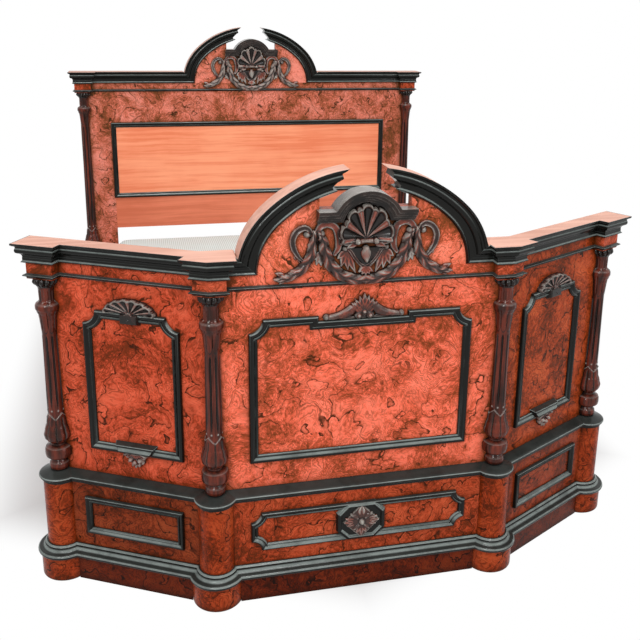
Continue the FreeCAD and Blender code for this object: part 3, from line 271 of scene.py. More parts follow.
# Burr veneer: warps as repeats per metre, reach in metres and detail
BURL_SWIRL = (5.0, 0.12, 2.0)
BURL_CURL = (26.0, 0.026, 3.0)
BURL_CRIMP = (120.0, 0.015, 4.0)
BURL_LACE = (75.0, 0.010, 2.0)
# Burr veneer: noises as repeats per metre, detail and roughness
BURL_MOTTLE = (90.0, 6.0, 0.78)
BURL_CLOUD = (9.0, 7.0, 0.62)
BURL_FIELD = (6.0, 3.0, 0.5)
BURL_PATCHES = (7.0, 4.0, 0.6)
BURL_SQUIGGLE = (46.0, 3.0, 0.6)
BURL_SPECK = (150.0, 3.0, 0.6)
# Burr veneer: how many lines the field carries, where marks start and end, and how strong they are
BURL_BANDS = 9.0
BURL_RINGS = 54.0
BAND_SPAN = (0.46, 0.58)
BAND_PULL = 0.6
SHADE_POWER = 5.0
SHADE_SHARE = 0.7
VEIN_SPAN = (0.895, 0.97, 0.0, 0.95)
RING_WIDTH = 0.30
RING_SPAN = (0.46, 0.32)
RING_SHARE = 0.75
SQUIGGLE_WIDTH = 0.040
SQUIGGLE_SPAN = (0.38, 0.60, 0.15, 0.85)
SPECK_SPAN = (0.60, 0.68, 0.0, 0.5)
BURL_DARKEST = 0.72
BURL_PULL = 0.4
BURL_LIGHTEST = 0.38
CORNER_SHADE_REACH = 0.03
CORNER_SHADE_SPAN = (0.40, 0.95)
BURL_STOPS = [(0.0, DARK_BURL), (0.20, BROWN_BURL), (0.46, WARM_BURL), (0.72, CLEAR_BURL),
              (1.0, BRIGHT_BURL)]
# Finishes: smoothest and roughest gloss, specular level and depth of bump
BURL_FINISH = (0.22, 0.36, 0.07, 0.05)
EBONY_FINISH = (0.12, 0.20, 0.17, 0.05)
MAHOGANY_FINISH = (0.09, 0.17, 0.22, 0.06)
CARVED_FINISH = (0.18, 0.30, 0.3, 0.12)
HOOD_FINISH = (0.18, 0.32, 0.26, 0.08)
IRON_FINISH = (0.45, 0.7, 0.5, 0.2)


# Scales a colour by a tint per channel; the veneers' tints also carry painted shade and painted glare
def shaded(colour, tint_and_painted_light):
    return tuple(channel * share for channel, share in zip(colour, tint_and_painted_light))


def burl(name, offset, turn, tint_and_painted_light, figure):
    """Mottled ground under rings, squiggles and one-sided veins; figure says how wild it is."""
    look = Look(name)
    brown, dark, line = (shaded(colour, tint_and_painted_light) for colour in (BROWN_BURL, DARK_BURL, VEIN))
    swirled = look.warped(look.moved(offset, turn), *BURL_SWIRL)
    curled = look.warped(swirled, *BURL_CURL)
    crimped = look.warped(curled, *BURL_CRIMP)
    mottle = look.noise(crimped, *BURL_MOTTLE)
    cloud = look.noise(curled, *BURL_CLOUD)
    field = look.noise(look.warped(curled, *BURL_LACE), *BURL_FIELD)
    patches = look.noise(swirled, *BURL_PATCHES)
    tone = look.math("ADD", look.times(cloud, 0.5), look.times(mottle, 0.5))
    stops = [(place, shaded(colour, tint_and_painted_light)) for place, colour in BURL_STOPS]
    look.colour = look.ramp(look.span(tone, BURL_DARKEST - figure * BURL_PULL, BURL_LIGHTEST), stops)
    rings = look.ridge(look.steps(field, BURL_RINGS), RING_WIDTH)
    look.over(brown, rings, look.span(patches, *(edge + figure for edge in RING_SPAN), 0.0, RING_SHARE))
    squiggles = look.ridge(look.noise(crimped, *BURL_SQUIGGLE), SQUIGGLE_WIDTH)
    look.over(dark, squiggles, look.span(cloud, *SQUIGGLE_SPAN))
    look.over(brown, look.span(look.noise(crimped, *BURL_SPECK), *SPECK_SPAN))
    band = look.steps(field, BURL_BANDS)
    band_share = look.span(patches, *(edge - figure * BAND_PULL for edge in BAND_SPAN))
    look.over(brown, look.math("POWER", band, SHADE_POWER), band_share, SHADE_SHARE)
    look.over(line, look.span(band, *VEIN_SPAN), band_share)
    # Painted shade: the burr darkens in its corners and beside the mouldings
    look.under(dark, look.span(look.hollows(CORNER_SHADE_REACH), *CORNER_SHADE_SPAN))
    return look.finish(mottle, *BURL_FINISH)


# Ebonised wood: black, rubbed at its edges, with a painted highlight on its slopes
EBONY_GRAIN = (90.0, 6.0, 0.6)
EBONY_PATCHES = (16.0, 5.0, 0.65)
EDGE_RADIUS = 0.003
RUBBED_SPAN = (0.42, 0.66, 0.0, 0.22)
SHEEN_SLOPE_SPAN = (0.12, 0.50)
SHEEN_LEVEL_SPAN = (0.70, 0.98)
LEVEL_SHEEN = 0.12
SHEEN_PATCH_SPAN = (0.30, 0.62, 0.44, 0.80)


def ebonised(name):
    look = Look(name)
    grain = look.noise(look.place, *EBONY_GRAIN)
    patches = look.noise(look.place, *EBONY_PATCHES)
    level = look.span(look.upward(*SHEEN_LEVEL_SPAN), 0.0, 1.0, 1.0, LEVEL_SHEEN)
    look.colour = EBONY
    # Painted highlight: upward slopes turn pale grey in patches, less on level tops
    look.over(EBONY_WORN_AND_SHEEN, look.upward(*SHEEN_SLOPE_SPAN), level, look.span(patches, *SHEEN_PATCH_SPAN))
    look.over(EBONY_WORN_AND_SHEEN, look.edges(EDGE_RADIUS), look.span(patches, *RUBBED_SPAN))
    return look.finish(grain, *EBONY_FINISH)


# Mahogany of the columns: upright streaks, black in its hollows as painted shade, pale where the turning's
# tone is high
STREAK_STRETCH = (1.0, 1.0, 0.12)
STREAKS = (70.0, 6.0, 0.6)
STREAK_SPAN = (0.35, 0.68)
COLUMN_SHADE_REACH = 0.012
COLUMN_SHADE_SPAN = (0.45, 0.95)
COLUMN_EDGE = 0.0025
COLUMN_RUBBED_SPAN = (0.35, 0.65, 0.0, 0.10)
LOW_TONE_SPAN = (-0.5, -0.05, 1.0, 0.0)
HIGH_TONE_SPAN = (0.0, 1.0, 0.0, 0.75)


def mahogany(name):
    look = Look(name)
    streaks = look.noise(look.vector("MULTIPLY", look.place, STREAK_STRETCH)[0], *STREAKS)
    look.colour = look.mix(look.span(streaks, *STREAK_SPAN), MAHOGANY_DARK, MAHOGANY)
    # Painted shade: the hollows of the turning go black
    look.under(CARVED_DARK, look.span(look.hollows(COLUMN_SHADE_REACH), *COLUMN_SHADE_SPAN))
    look.over(CARVED_DUST_AND_SHEEN, look.edges(COLUMN_EDGE), look.span(streaks, *COLUMN_RUBBED_SPAN))
    tone = look.attribute("tone")
    # Low tone is the ebonised capital, with painted shade in the flutes and a painted shadow under the
    # tulip's petals
    look.over(CARVED_DARK, look.span(tone, *LOW_TONE_SPAN))
    # High tone is pale dots and worn lines, with painted highlights on the tulip and the foot's rings
    look.over(CARVED_DUST_AND_SHEEN, look.span(tone, *HIGH_TONE_SPAN))
    return look.finish(streaks, *MAHOGANY_FINISH)


# Carved walnut: coloured by each stroke's tone, black where it lies deep as painted shade, and pale where it
# stands out as a painted highlight with some wear
CARVED_PATCHES = (40.0, 5.0, 0.62)
CARVED_UNEVEN = (0.25, 0.75, -0.14, 0.14)
CARVED_STOPS = [(0.0, CARVED_DARK), (0.34, CARVED_BROWN), (0.58, CARVED_RED), (0.78, CARVED_GREY),
                (1.0, CARVED_DUST_AND_SHEEN)]
CARVED_SHADE_REACH = 0.014
CARVED_SHADE_SPAN = (0.30, 0.85)
SUNK_SHADE_SPAN = (-0.65, 0.0, 0.9, 0.0)
WEAR_AND_SHEEN_SPAN = (0.25, 0.95)
WEAR_AND_SHEEN_PATCHES = (0.32, 0.62, 0.16, 0.70)
WEAR_AND_SHEEN_TONES = (0.02, 0.26)


def carved(name):
    look = Look(name)
    patches = look.noise(look.place, *CARVED_PATCHES)
    tone = look.attribute("tone")
    wear_sheen_and_shade = look.attribute("wear_sheen_and_shade")
    look.colour = look.ramp(look.math("ADD", tone, look.span(patches, *CARVED_UNEVEN)), CARVED_STOPS)
    # Painted shade: the carving's hollows go black
    look.under(CARVED_DARK, look.span(look.hollows(CARVED_SHADE_REACH), *CARVED_SHADE_SPAN))
    # Painted shade: sunk places go black
    look.over(CARVED_DARK, look.span(wear_sheen_and_shade, *SUNK_SHADE_SPAN))
    # Painted highlight with some wear: places that stand out turn pale in patches, except on black strokes
    wear_and_sheen = look.times(look.span(wear_sheen_and_shade, *WEAR_AND_SHEEN_SPAN), look.span(patches, *WEAR_AND_SHEEN_PATCHES))
    look.over(CARVED_SHEEN, wear_and_sheen, look.span(tone, *WEAR_AND_SHEEN_TONES))
    return look.finish(patches, *CARVED_FINISH)


# Hoods over the crests: dark, with tops paled by dust and a painted top light, and rubbed edges
HOOD_PATCHES = (22.0, 6.0, 0.62)
HOOD_SPAN = (0.35, 0.7)
HOOD_DUST_LIGHT_SPAN = (0.35, 0.75)
HOOD_TOP_LIGHT_SLOPE = (0.15, 0.9, 0.0, 0.8)
HOOD_RUBBED_SPAN = (0.38, 0.62, 0.0, 0.35)


def hood_wood(name):
    look = Look(name)
    patches = look.noise(look.place, *HOOD_PATCHES)
    look.colour = look.mix(look.span(patches, *HOOD_SPAN), CARVED_DARK, HOOD_BROWN)
    dust_and_top_light = look.mix(look.span(patches, *HOOD_DUST_LIGHT_SPAN), CARVED_GREY, CARVED_SHEEN)
    # Dust with painted top light: upward faces turn grey to a pale sheen
    look.over(dust_and_top_light, look.upward(*HOOD_TOP_LIGHT_SLOPE))
    look.over(CARVED_DUST_AND_SHEEN, look.edges(EDGE_RADIUS), look.span(patches, *HOOD_RUBBED_SPAN))
    return look.finish(patches, *HOOD_FINISH)


# Plain wood: grain stretched along one axis, over soft clouds
GRAIN_ALONG = 2.0
GRAIN_ACROSS = 60.0
GRAIN_BEND = (3.0, 0.02, 2.0)
GRAIN = (1.0, 7.0, 0.6, 0.3)
GRAIN_CLOUD = (3.0, 4.0)
GRAIN_SHARE = 0.6
CLOUD_SHARE = 0.4
GRAIN_SPAN = (0.36, 0.64)
GLOSS_RANGE = 0.06
PLAIN_SPECULAR = 0.25
PLAIN_BUMP = 0.06


def plain_wood(name, light, dark, along, roughness):
    look = Look(name)
    scale = [GRAIN_ALONG if axis == along else GRAIN_ACROSS for axis in range(3)]
    bent = look.warped(look.place, *GRAIN_BEND)
    grain = look.noise(look.vector("MULTIPLY", bent, scale)[0], *GRAIN)
    cloud = look.noise(look.place, *GRAIN_CLOUD)
    tone = look.math("ADD", look.times(grain, GRAIN_SHARE), look.times(cloud, CLOUD_SHARE))
    look.colour = look.ramp(look.span(tone, *GRAIN_SPAN), [(0.0, dark), (1.0, light)])
    gloss = (roughness - GLOSS_RANGE, roughness + GLOSS_RANGE)
    return look.finish(grain, *gloss, PLAIN_SPECULAR, PLAIN_BUMP)


IRON_SCALE = (120.0, 6.0, 0.6)
IRON_METALLIC = 0.85


def iron(name):
    look = Look(name)
    scale = look.noise(look.place, *IRON_SCALE)
    look.set(Metallic=IRON_METALLIC)
    look.colour = look.mix(scale, IRON, MAHOGANY_DARK)
    return look.finish(scale, *IRON_FINISH)


# Ticking: stripes along the mattress and round its sides, a fine weave and a little soil
STRIPE_PITCH = 0.009
STRIPE_WIDTH = 0.20
STRIPE_SHARE = 0.8
WEAVE_PITCH = 0.0012
WEAVE_BUMP = 0.25
WEAVE_REACH = 0.0004
FLANK_SPAN = (0.68, 0.72)
SOIL = (5.0, 5.0, 0.6)
SOIL_SPAN = (0.4, 0.8, 0.0, 0.12)
TICKING_GLOSS = (0.86, 0.94)
TICKING_SHEEN = 0.1


def ticking(name):
    look = Look(name)
    place = look.split(look.place)
    flank = look.span(look.math("ABSOLUTE", look.split(look.normal())["X"]), *FLANK_SPAN)
    across = look.math("ADD", look.times(place["Y"], flank),
                       look.times(place["X"], look.math("SUBTRACT", 1.0, flank)))
    stripe = look.ridge(look.math("FRACT", look.math("DIVIDE", across, STRIPE_PITCH)), STRIPE_WIDTH)
    warp, weft = (look.math("SINE", look.times(place[axis], math.tau / WEAVE_PITCH)) for axis in ("X", "Y"))
    soil = look.noise(look.place, *SOIL)
    look.colour = TICKING
    look.over(TICKING_STRIPE, stripe, STRIPE_SHARE)
    look.over(TOP_LIGHT, look.span(soil, *SOIL_SPAN))
    gloss = look.span(soil, *DETAIL_SPAN, *TICKING_GLOSS)
    look.set(Base_Color=look.colour, Roughness=gloss, Sheen_Weight=TICKING_SHEEN)
    look.bump(look.times(warp, weft), WEAVE_BUMP, WEAVE_REACH)
    return look.material


# Veneers: offset and turn of the figure, tint by channel, and how wild it is. The tints are partly each
# veneer's own colour and partly painted light: the wings, base, pedestals and plinth are darkened as painted
# shade, and the headboard is paled and greyed as painted glare
VENEERS = {
    "foot_panel_centre": ((0.3, 0.1, 0.2), (0.2, 0.1, 0.3), (1.05, 1.05, 1.10), 0.12),
    "foot_tympanum": ((3.9, 4.4, 1.6), (0.7, 0.3, 0.2), (1.08, 1.25, 1.35), 0.14),
    "foot_panel_left": ((2.1, 0.4, 0.7), (0.5, 0.2, 0.9), (0.78, 0.60, 0.50), 0.17),
    "foot_panel_right": ((5.3, 1.7, 0.1), (0.1, 0.6, 0.4), (0.58, 0.48, 0.25), 0.17),
    "frieze_blocks": ((1.2, 6.3, 4.1), (0.9, 0.2, 0.5), (0.75, 0.65, 0.55), 0.16),
    "foot_base_panel_centre": ((7.7, 2.2, 3.1), (0.4, 0.1, 1.1), (0.60, 0.47, 0.30), 0.18),
    "foot_base_panel_left": ((4.6, 8.1, 2.7), (0.3, 0.8, 0.6), (0.31, 0.26, 0.13), 0.18),
    "foot_base_panel_right": ((8.4, 3.3, 5.9), (0.6, 0.4, 0.2), (0.38, 0.30, 0.16), 0.18),
    "foot_plinth": ((6.5, 7.2, 1.3), (0.2, 0.9, 0.3), (0.17, 0.11, 0.04), 0.18),
    "pedestal": ((2.8, 9.6, 6.4), (0.8, 0.5, 0.7), (0.46, 0.34, 0.16), 0.18),
    "head": ((9.2, 5.1, 2.4), (0.2, 0.5, 0.6), (0.80, 1.18, 1.50), 0.19),
    "head_tympanum": ((1.7, 3.8, 7.9), (0.6, 0.1, 0.4), (0.86, 1.25, 1.60), 0.13),
}
# Plain woods: material's name, light and dark colour, axis of the grain and roughness
PLAIN_WOODS = {
    "head_panel": ("panel_walnut", PANEL_LIGHT, PANEL_DARK, 0, 0.3),
    "plain_walnut": ("rail_walnut", RAIL_LIGHT, RAIL_DARK, 0, 0.34),
    "side_rail": ("side_rail_walnut", RAIL_LIGHT, RAIL_DARK, 1, 0.34),
    "top_walnut": ("top_walnut", TOP_LIGHT, TOP_DARK, 0, 0.5),
    "pine": ("pine", PINE_LIGHT, PINE_DARK, 0, 0.6),
}


def all_looks():
    looks = {name: burl("burl_" + name, *values) for name, values in VENEERS.items()}
    looks["ebonised_wood"] = ebonised("ebonised_wood")
    looks["turned_mahogany"] = mahogany("turned_mahogany")
    looks["carved_walnut"] = carved("carved_walnut")
    looks["hood"] = hood_wood("hood_walnut")
    for key, values in PLAIN_WOODS.items():
        looks[key] = plain_wood(*values)
    looks["iron"] = iron("iron")
    looks["ticking"] = ticking("ticking")
    return looks


def look_of(node, slot):
    """The look's name for a node of the frame."""
    if node.endswith("crest_hood"):
        return "hood"
    if node.startswith("side_rail"):
        return "side_rail"
    if node == "head_panel" or node in VENEERS:
        return node
    if slot == "burl_walnut":
        return "pedestal" if "pedestal" in node else "head"
    return slot


def finish_nodes(looks):
    for part in frame["record"]["subparts"]:
        mesh = frame["nodes"][part["node"]].data
        mesh.materials.clear()
        mesh.materials.append(looks[look_of(part["node"], part["material_slot"])])


def add_piece(name, mesh, look, body=BODY):
    piece = bpy.data.objects.new(name, mesh)
    mesh.materials.append(look)
    bpy.context.scene.collection.objects.link(piece)
    bpy.context.view_layer.update()
    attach(piece, body)
    return piece


# Carving in relief, in millimetres: a height and a tone over an upright grid, raised stroke by stroke
RELIEF_STEP = 1.1
HEAD_STEP = 2.2
RELIEF_SINK = 2.5
SUNK_SHARE = 0.9
STROKE_SAMPLES = 90
LEAST_HALF = 0.01
TONE_BLACK = 0.0
TONE_DARK = 0.16
TONE_BROWN = 0.32
TONE_RED = 0.56
TONE_PALE = 0.86
WEAR_SHEEN_SHADE_PASSES = 12
WEAR_SHEEN_SHADE_SCALE = 1.6
# Sections of strokes, as shares of their half-width and rise
HOLLOW_GROUND = 0.62
HOLLOW_RISE = 0.38
RIBBON_EDGE = 0.92
RIBBON_FALL = 2.4
RIBBON_EDGE_TONE = 0.72
LEAF_SWEEP = 0.55
LEAF_STAGGER = 0.25
LEAF_WAIST = 0.94
LEAF_FLARE = 0.12
LEAF_GROUND = 0.84
LEAF_SWELL = 0.16
LEAF_VEIN = 0.12
LEAF_VEIN_DEPTH = 0.08
LEAFLET_ROOT = 0.5
LEAFLET_TIP = 0.12
LEAFLET_GROUND = 0.75
LEAFLET_LIFT = 0.25
LEAFLET_SHINE = (2.2, 0.25)
BLOCK_SLOPE = 3.0
SHIELD_SPREAD = 0.9
SHIELD_SLOPE = 2.0
DIAMOND_SLOPE = 1.6
# Shells, as shares of their radius, rise and lobes
FLUTE_SHARE = 0.62
FLUTE_SCOOP = 0.34
RIDGE_RISE = 0.12
RIM_RIDGE = 0.3
RIM_LIP = 0.88
RIM_LIP_RUN = 0.08
RIM_LIP_FILL = 0.8
RIM_START = 0.92
RIM_FALL = 14.0
SIDE_FALL = 0.12
RIB_TONE = 0.40
RIB_SHINE = 0.32


def smooth_path(points, count):
    """Catmull-Rom curve through points of any number of columns."""
    points = np.asarray(points, dtype=float)
    padded = np.vstack([2 * points[0] - points[1], points, 2 * points[-1] - points[-2]])
    spans = len(points) - 1
    where = np.linspace(0.0, spans, count)
    index = np.minimum(where.astype(int), spans - 1)
    t = (where - index)[:, None]
    a, b, c, d = (padded[index + k] for k in range(4))
    square = (2 * a - 5 * b + 4 * c - d) * t ** 2
    cube = (3 * b - a - 3 * c + d) * t ** 3
    return 0.5 * (2 * b + (c - a) * t + square + cube)


def dome(u):
    u = np.abs(u)
    return np.where(u < 1.0, np.sqrt(np.clip(1.0 - u ** 2, 0.0, None)), 1.0 - u)


def sawtooth(turns):
    """From -1 to 1 over each whole turn."""
    return 2.0 * (turns - np.floor(turns)) - 1.0


def close_mesh(mesh):
    """Fill the open borders, which lie inside the wood, and turn every face outwards."""
    shape = bmesh.new()
    shape.from_mesh(mesh)
    border = [edge for edge in shape.edges if edge.is_boundary]
    bmesh.ops.holes_fill(shape, edges=border, sides=0)
    bmesh.ops.recalc_face_normals(shape, faces=shape.faces)
    shape.to_mesh(mesh)
    shape.free()


def smooth_faces(mesh):
    mesh.polygons.foreach_set("use_smooth", np.ones(len(mesh.polygons), dtype=bool))


def placed_mesh(name, points, quads, places):
    """One closed mesh with a copy of the points and faces at each place."""
    matrices = [np.array(place) for place in places]
    copies = [points @ matrix[:3, :3].T + matrix[:3, 3] for matrix in matrices]
    faces = [quads + number * len(points) for number in range(len(places))]
    mesh = bpy.data.meshes.new(name)
    mesh.from_pydata(np.vstack(copies).tolist(), [], np.vstack(faces).tolist())
    smooth_faces(mesh)
    close_mesh(mesh)
    return mesh


def paint(mesh, key, values, copies):
    attribute = mesh.attributes.new(key, "FLOAT", "POINT")
    attribute.data.foreach_set("value", np.tile(values, copies).astype(np.float32))


class Relief:
    """A carved face. Strokes are drawn on the left half and show on both halves."""

    def __init__(self, half, low, high, step=RELIEF_STEP):
        columns = int(round(half / step))
        rows = int(round((high - low) / step))
        across = np.arange(-columns, columns + 1) * step
        self.x, self.z = np.meshgrid(across, low + np.arange(rows + 1) * step)
        self.left = -np.abs(self.x)
        self.height = np.full(self.x.shape, -RELIEF_SINK)
        self.tone = np.zeros(self.x.shape)

    def draw(self, strokes):
        for kind, *values in strokes:
            getattr(self, kind)(*values)
        return self

    def lay(self, height, tone):
        over = height > self.height
        self.height = np.where(over, height, self.height)
        self.tone = np.where(over, tone, self.tone)

    def lay_flat(self, inside, slope, rise, tone):
        """A flat top with sloping edges, from the distance inside its outline."""
        self.lay(np.clip(inside * slope, -RELIEF_SINK, rise), tone)

    def along(self, points):
        """Share of the way, offset to the side and half-width, at the nearest point of a stroke."""
        path = smooth_path(points, STROKE_SAMPLES)
        ways = np.gradient(path[:, :2], axis=0)
        best = np.full(self.x.shape, np.inf)
        share, offset, width = (np.zeros(self.x.shape) for _ in range(3))
        for i, ((x, z, half), way) in enumerate(zip(path, ways)):
            dx = self.left - x
            dz = self.z - z
            gap = dx ** 2 + dz ** 2
            near = gap < best
            best = np.where(near, gap, best)
            side = np.where(dx * way[1] - dz * way[0] < 0.0, -1.0, 1.0)
            share = np.where(near, i / (STROKE_SAMPLES - 1), share)
            offset = np.where(near, side, offset)
            width = np.where(near, max(half, LEAST_HALF), width)
        return share, offset * np.sqrt(best), width

    def roll(self, points, rise, tone):
        _, offset, width = self.along(points)
        self.lay(dome(offset / width) * rise, tone)

    def ribbon(self, points, rise, tone, edge_tone):
        """A band hollowed along its middle between two raised edges."""
        _, offset, width = self.along(points)
        u = offset / width
        body = rise * (HOLLOW_GROUND + HOLLOW_RISE * u ** 2)
        height = np.where(np.abs(u) < RIBBON_EDGE, body, rise * dome(u) * RIBBON_FALL)
        self.lay(height, np.where(np.abs(u) > RIBBON_EDGE_TONE, edge_tone, tone))

    def leafage(self, points, rise, pitch, tone, tip_tone):
        """A stem wrapped in leaves whose edges run back from its middle."""
        share, offset, width = self.along(points)
        u = offset / width
        path = smooth_path(points, STROKE_SAMPLES)
        length = np.sum(np.hypot(*np.diff(path[:, :2], axis=0).T))
        phase = share * length / pitch - LEAF_SWEEP * np.abs(u) + LEAF_STAGGER * np.sign(u)
        wave = 1.0 - np.abs(sawtooth(phase))
        body = dome(u / (LEAF_WAIST + LEAF_FLARE * wave)) * (LEAF_GROUND + LEAF_SWELL * np.sqrt(wave))
        vein = np.exp(-(u / LEAF_VEIN) ** 2)
        shine = wave ** 2 * (1.0 - vein)
        self.lay(rise * body * (1.0 - LEAF_VEIN_DEPTH * vein), tone + (tip_tone - tone) * shine)

    def knob(self, x, z, radius, rise, tone):
        gap = np.hypot(self.left - x, self.z - z) / radius
        self.lay(dome(gap) * rise, tone)

    def spray(self, base, tips, half, rise, tone, tip_tone):
        """Leaflets that run from one base to several tips, each with a vein down its middle."""
        for tip in tips:
            middle = [(a + b) * 0.5 for a, b in zip(base, tip)]
            path = [(*base, half * LEAFLET_ROOT), (*middle, half), (*tip, half * LEAFLET_TIP)]
            share, offset, width = self.along(path)
            u = np.abs(offset / width)
            fold = dome(u) * (HOLLOW_GROUND + HOLLOW_RISE * u)
            shine = share * np.clip(u * LEAFLET_SHINE[0], LEAFLET_SHINE[1], 1.0)
            self.lay(rise * fold * (LEAFLET_GROUND + LEAFLET_LIFT * share), tone + (tip_tone - tone) * shine)

    def shell(self, hub, across, up, lobes, spread, rise, bowl, scallop):
        """A fan of scooped flutes with round ends, painted black as shade, between raised ribs."""
        dx = self.x / across
        dz = (self.z - hub) / up
        reach = np.hypot(dx, dz)
        lean = np.degrees(np.arctan2(dx, dz))
        side = np.abs(sawtooth((lean / spread + 0.5) * lobes))
        flute = side < FLUTE_SHARE
        hollow = np.where(flute, 1.0 - (side / FLUTE_SHARE) ** 2, 0.0)
        ridge = np.where(flute, 0.0, np.sin(math.pi * (side - FLUTE_SHARE) / (2.0 - 2.0 * FLUTE_SHARE)))
        round_end = 1.0 - scallop + scallop * np.sqrt(hollow)
        rim = np.where(flute, round_end, 1.0 - scallop * (1.0 - RIM_RIDGE * ridge))
        grown = np.clip(reach / rim, 0.0, 1.0)
        lip = np.clip((grown - RIM_LIP) / RIM_LIP_RUN, 0.0, 1.0)
        lift = bowl + (1.0 - bowl) * grown ** 2
        scoop = FLUTE_SCOOP * hollow * np.sqrt(grown) * (1.0 - RIM_LIP_FILL * lip)
        height = rise * (lift - scoop + RIDGE_RISE * ridge * grown)
        past_side = np.abs(lean) - spread * 0.5
        outside = np.maximum((reach - rim) * rise * RIM_FALL, past_side * rise * SIDE_FALL)
        height = np.where(outside > 0.0, rise - outside, height)
        # Painted shade: the flutes are painted black
        tone = np.where(flute, TONE_BLACK, RIB_TONE + RIB_SHINE * ridge ** 4)
        tone = np.where(grown > RIM_START, TONE_BROWN, tone)
        self.lay(np.maximum(height, -RELIEF_SINK), tone)

    def cut_below(self, level):
        self.height = np.where(self.z < level, -RELIEF_SINK, self.height)

    def block(self, half, low, high, rise, tone):
        """A flat tablet."""
        inside = np.minimum(np.minimum(half - np.abs(self.x), self.z - low), high - self.z)
        self.lay_flat(inside, BLOCK_SLOPE, rise, tone)

    def shield(self, low, high, half, rise, tone):
        """A flat ground that widens upwards."""
        level = np.minimum(self.z - low, high - self.z)
        inside = np.minimum(level, (self.z - low) * SHIELD_SPREAD - np.abs(self.x) + half)
        self.lay_flat(inside, SHIELD_SLOPE, rise, tone)

    def diamond(self, half, rise, tone):
        self.lay_flat(half - np.abs(self.x) - np.abs(self.z), DIAMOND_SLOPE, rise, tone)

    def wear_sheen_and_shade(self):
        """How far each point stands out from its neighbourhood, from -1 to 1; low points get painted shade,
        high points a painted highlight with some wear.
        """
        soft = self.height
        for _ in range(WEAR_SHEEN_SHADE_PASSES):
            beside = np.roll(soft, 1, axis=1) + np.roll(soft, -1, axis=1)
            above = np.roll(soft, 1, axis=0) + np.roll(soft, -1, axis=0)
            soft = (soft + beside + above) / 5.0
        return np.clip((self.height - soft) / WEAR_SHEEN_SHADE_SCALE, -1.0, 1.0)

    def mesh(self, name, places):
        """One mesh with a copy of the relief at each place; the face looks towards -Y of the place."""
        columns = self.height.shape[1]
        solid = self.height > -RELIEF_SINK * SUNK_SHARE
        cells = solid[:-1, :-1] | solid[1:, :-1] | solid[:-1, 1:] | solid[1:, 1:]
        i, j = np.nonzero(cells)
        corner = i * columns + j
        quads = np.stack([corner, corner + 1, corner + columns + 1, corner + columns], axis=1)
        used, renumbered = np.unique(quads, return_inverse=True)
        points = np.stack([self.x.ravel(), -self.height.ravel(), self.z.ravel()], axis=1)[used]
        mesh = placed_mesh(name, points * MM, renumbered.reshape(quads.shape), places)
        for key, field in (("tone", self.tone), ("wear_sheen_and_shade", self.wear_sheen_and_shade())):
            paint(mesh, key, field.ravel()[used], len(places))
        mesh.update()
        return mesh


def axis_of(name):
    low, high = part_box("foot_pedestal_" + name)
    return Vector(((low[0] + high[0]) * 0.5, (low[1] + high[1]) * 0.5, 0.0))


def middle_and_rise(node):
    """The level of a node's middle, and half its height."""
    low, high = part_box(node)
    return (low[2] + high[2]) * 0.5, (high[2] - low[2]) * 0.5


# Places on the frame that the carving sits on
OUTER_AXIS = axis_of("outer_left")
INNER_AXIS = axis_of("inner_left")
WING_WAY = INNER_AXIS - OUTER_AXIS
WING_SHIFT = 0.0055
PANEL_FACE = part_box("foot_panel_centre")[0][1]
BASE_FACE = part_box("foot_base_panel_centre")[0][1]
CORNICE_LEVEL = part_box("foot_cornice_left")[0][2]
FRAME_LOW, FRAME_HIGH = (corner[2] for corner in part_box("foot_wing_frames"))
CRESTING_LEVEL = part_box("foot_centre_cresting")[0][2]
BASE_MIDDLE, BASE_RISE = middle_and_rise("foot_centre_base_frame")
HEAD_SHIFT = Vector(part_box("head_crest_shell")[0]) - Vector(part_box("foot_crest_shell")[0])
FOOT_CREST = Vector((0.0, PANEL_FACE, CORNICE_LEVEL))


def wing_places(face, level, shift=0.0):
    """The two wings' faces, a shift from their middle towards the inner columns."""
    angle = math.atan2(WING_WAY.y, WING_WAY.x)
    along = WING_WAY.normalized()
    behind = Vector((-along.y, along.x, 0.0)) * (face - INNER_AXIS.y)
    middle = OUTER_AXIS + along * (WING_WAY.length * 0.5 + shift) + behind
    return [Matrix.Translation((middle.x * side, middle.y, level)) @ Matrix.Rotation(angle * side, 4, "Z")
            for side in (1.0, -1.0)]


# Strokes start with the name of a method of Relief and go on with its values. Paths are points of x, z and
# half-width, drawn for the left half.
# Crest under the arch, from the foot of the crest
CREST_HALF = 232
CREST_SPAN = (-44, 176)
SWAG = [(-118, 98, 8), (-110, 86, 12), (-104, 62, 14.5), (-92, 27, 15.5), (-70, -2, 15.5), (-38, -19, 14.5),
        (0, -24, 14)]
LOOP = [(-124, 96, 4), (-121, 107, 7), (-112, 118, 8.5), (-96, 122, 9), (-78, 112, 9), (-70, 87, 9),
        (-70, 62, 8), (-78, 46, 5)]
CURL = [(-139, 98, 4), (-141, 108, 5.5), (-154, 114, 7), (-172, 105, 7.5), (-182, 86, 7.5), (-179, 63, 7),
        (-168, 43, 5), (-158, 33, 3)]
TAIL = [(-131, 100, 8), (-132, 70, 11.5), (-143, 33, 13.5), (-163, 8, 13.5), (-189, -7, 12), (-212, -11, 9),
        (-226, -12, 3)]
TAIL_LEAF = (-196, -8)
TAIL_TIPS = [(-224, 4), (-228, -12), (-214, -24)]
PALE_LEAF = (-113, 52)
PALE_LEAF_TIPS = [(-130, 32), (-123, 19), (-111, 16), (-100, 23), (-95, 38)]
FAR_LEAF = (-171, 50)
FAR_LEAF_TIPS = [(-186, 78), (-187, 62), (-176, 34), (-164, 26)]
SHIELD = [(-50, 60, 3), (-38, 50, 4), (-26, 31, 4), (-12, 15, 4), (0, 10, 4)]
ACANTHUS = (-50, 52)
ACANTHUS_TIPS = [(-71, 34), (-62, 14), (-45, 4), (-26, -4)]
LOWER_LEAF = (0, 9)
LOWER_LEAF_TIPS = [(-18, -2), (-10, -9), (0, -12)]
BOSS = [(0, 57, 9), (0, 47, 14), (0, 35, 11), (0, 26, 4)]
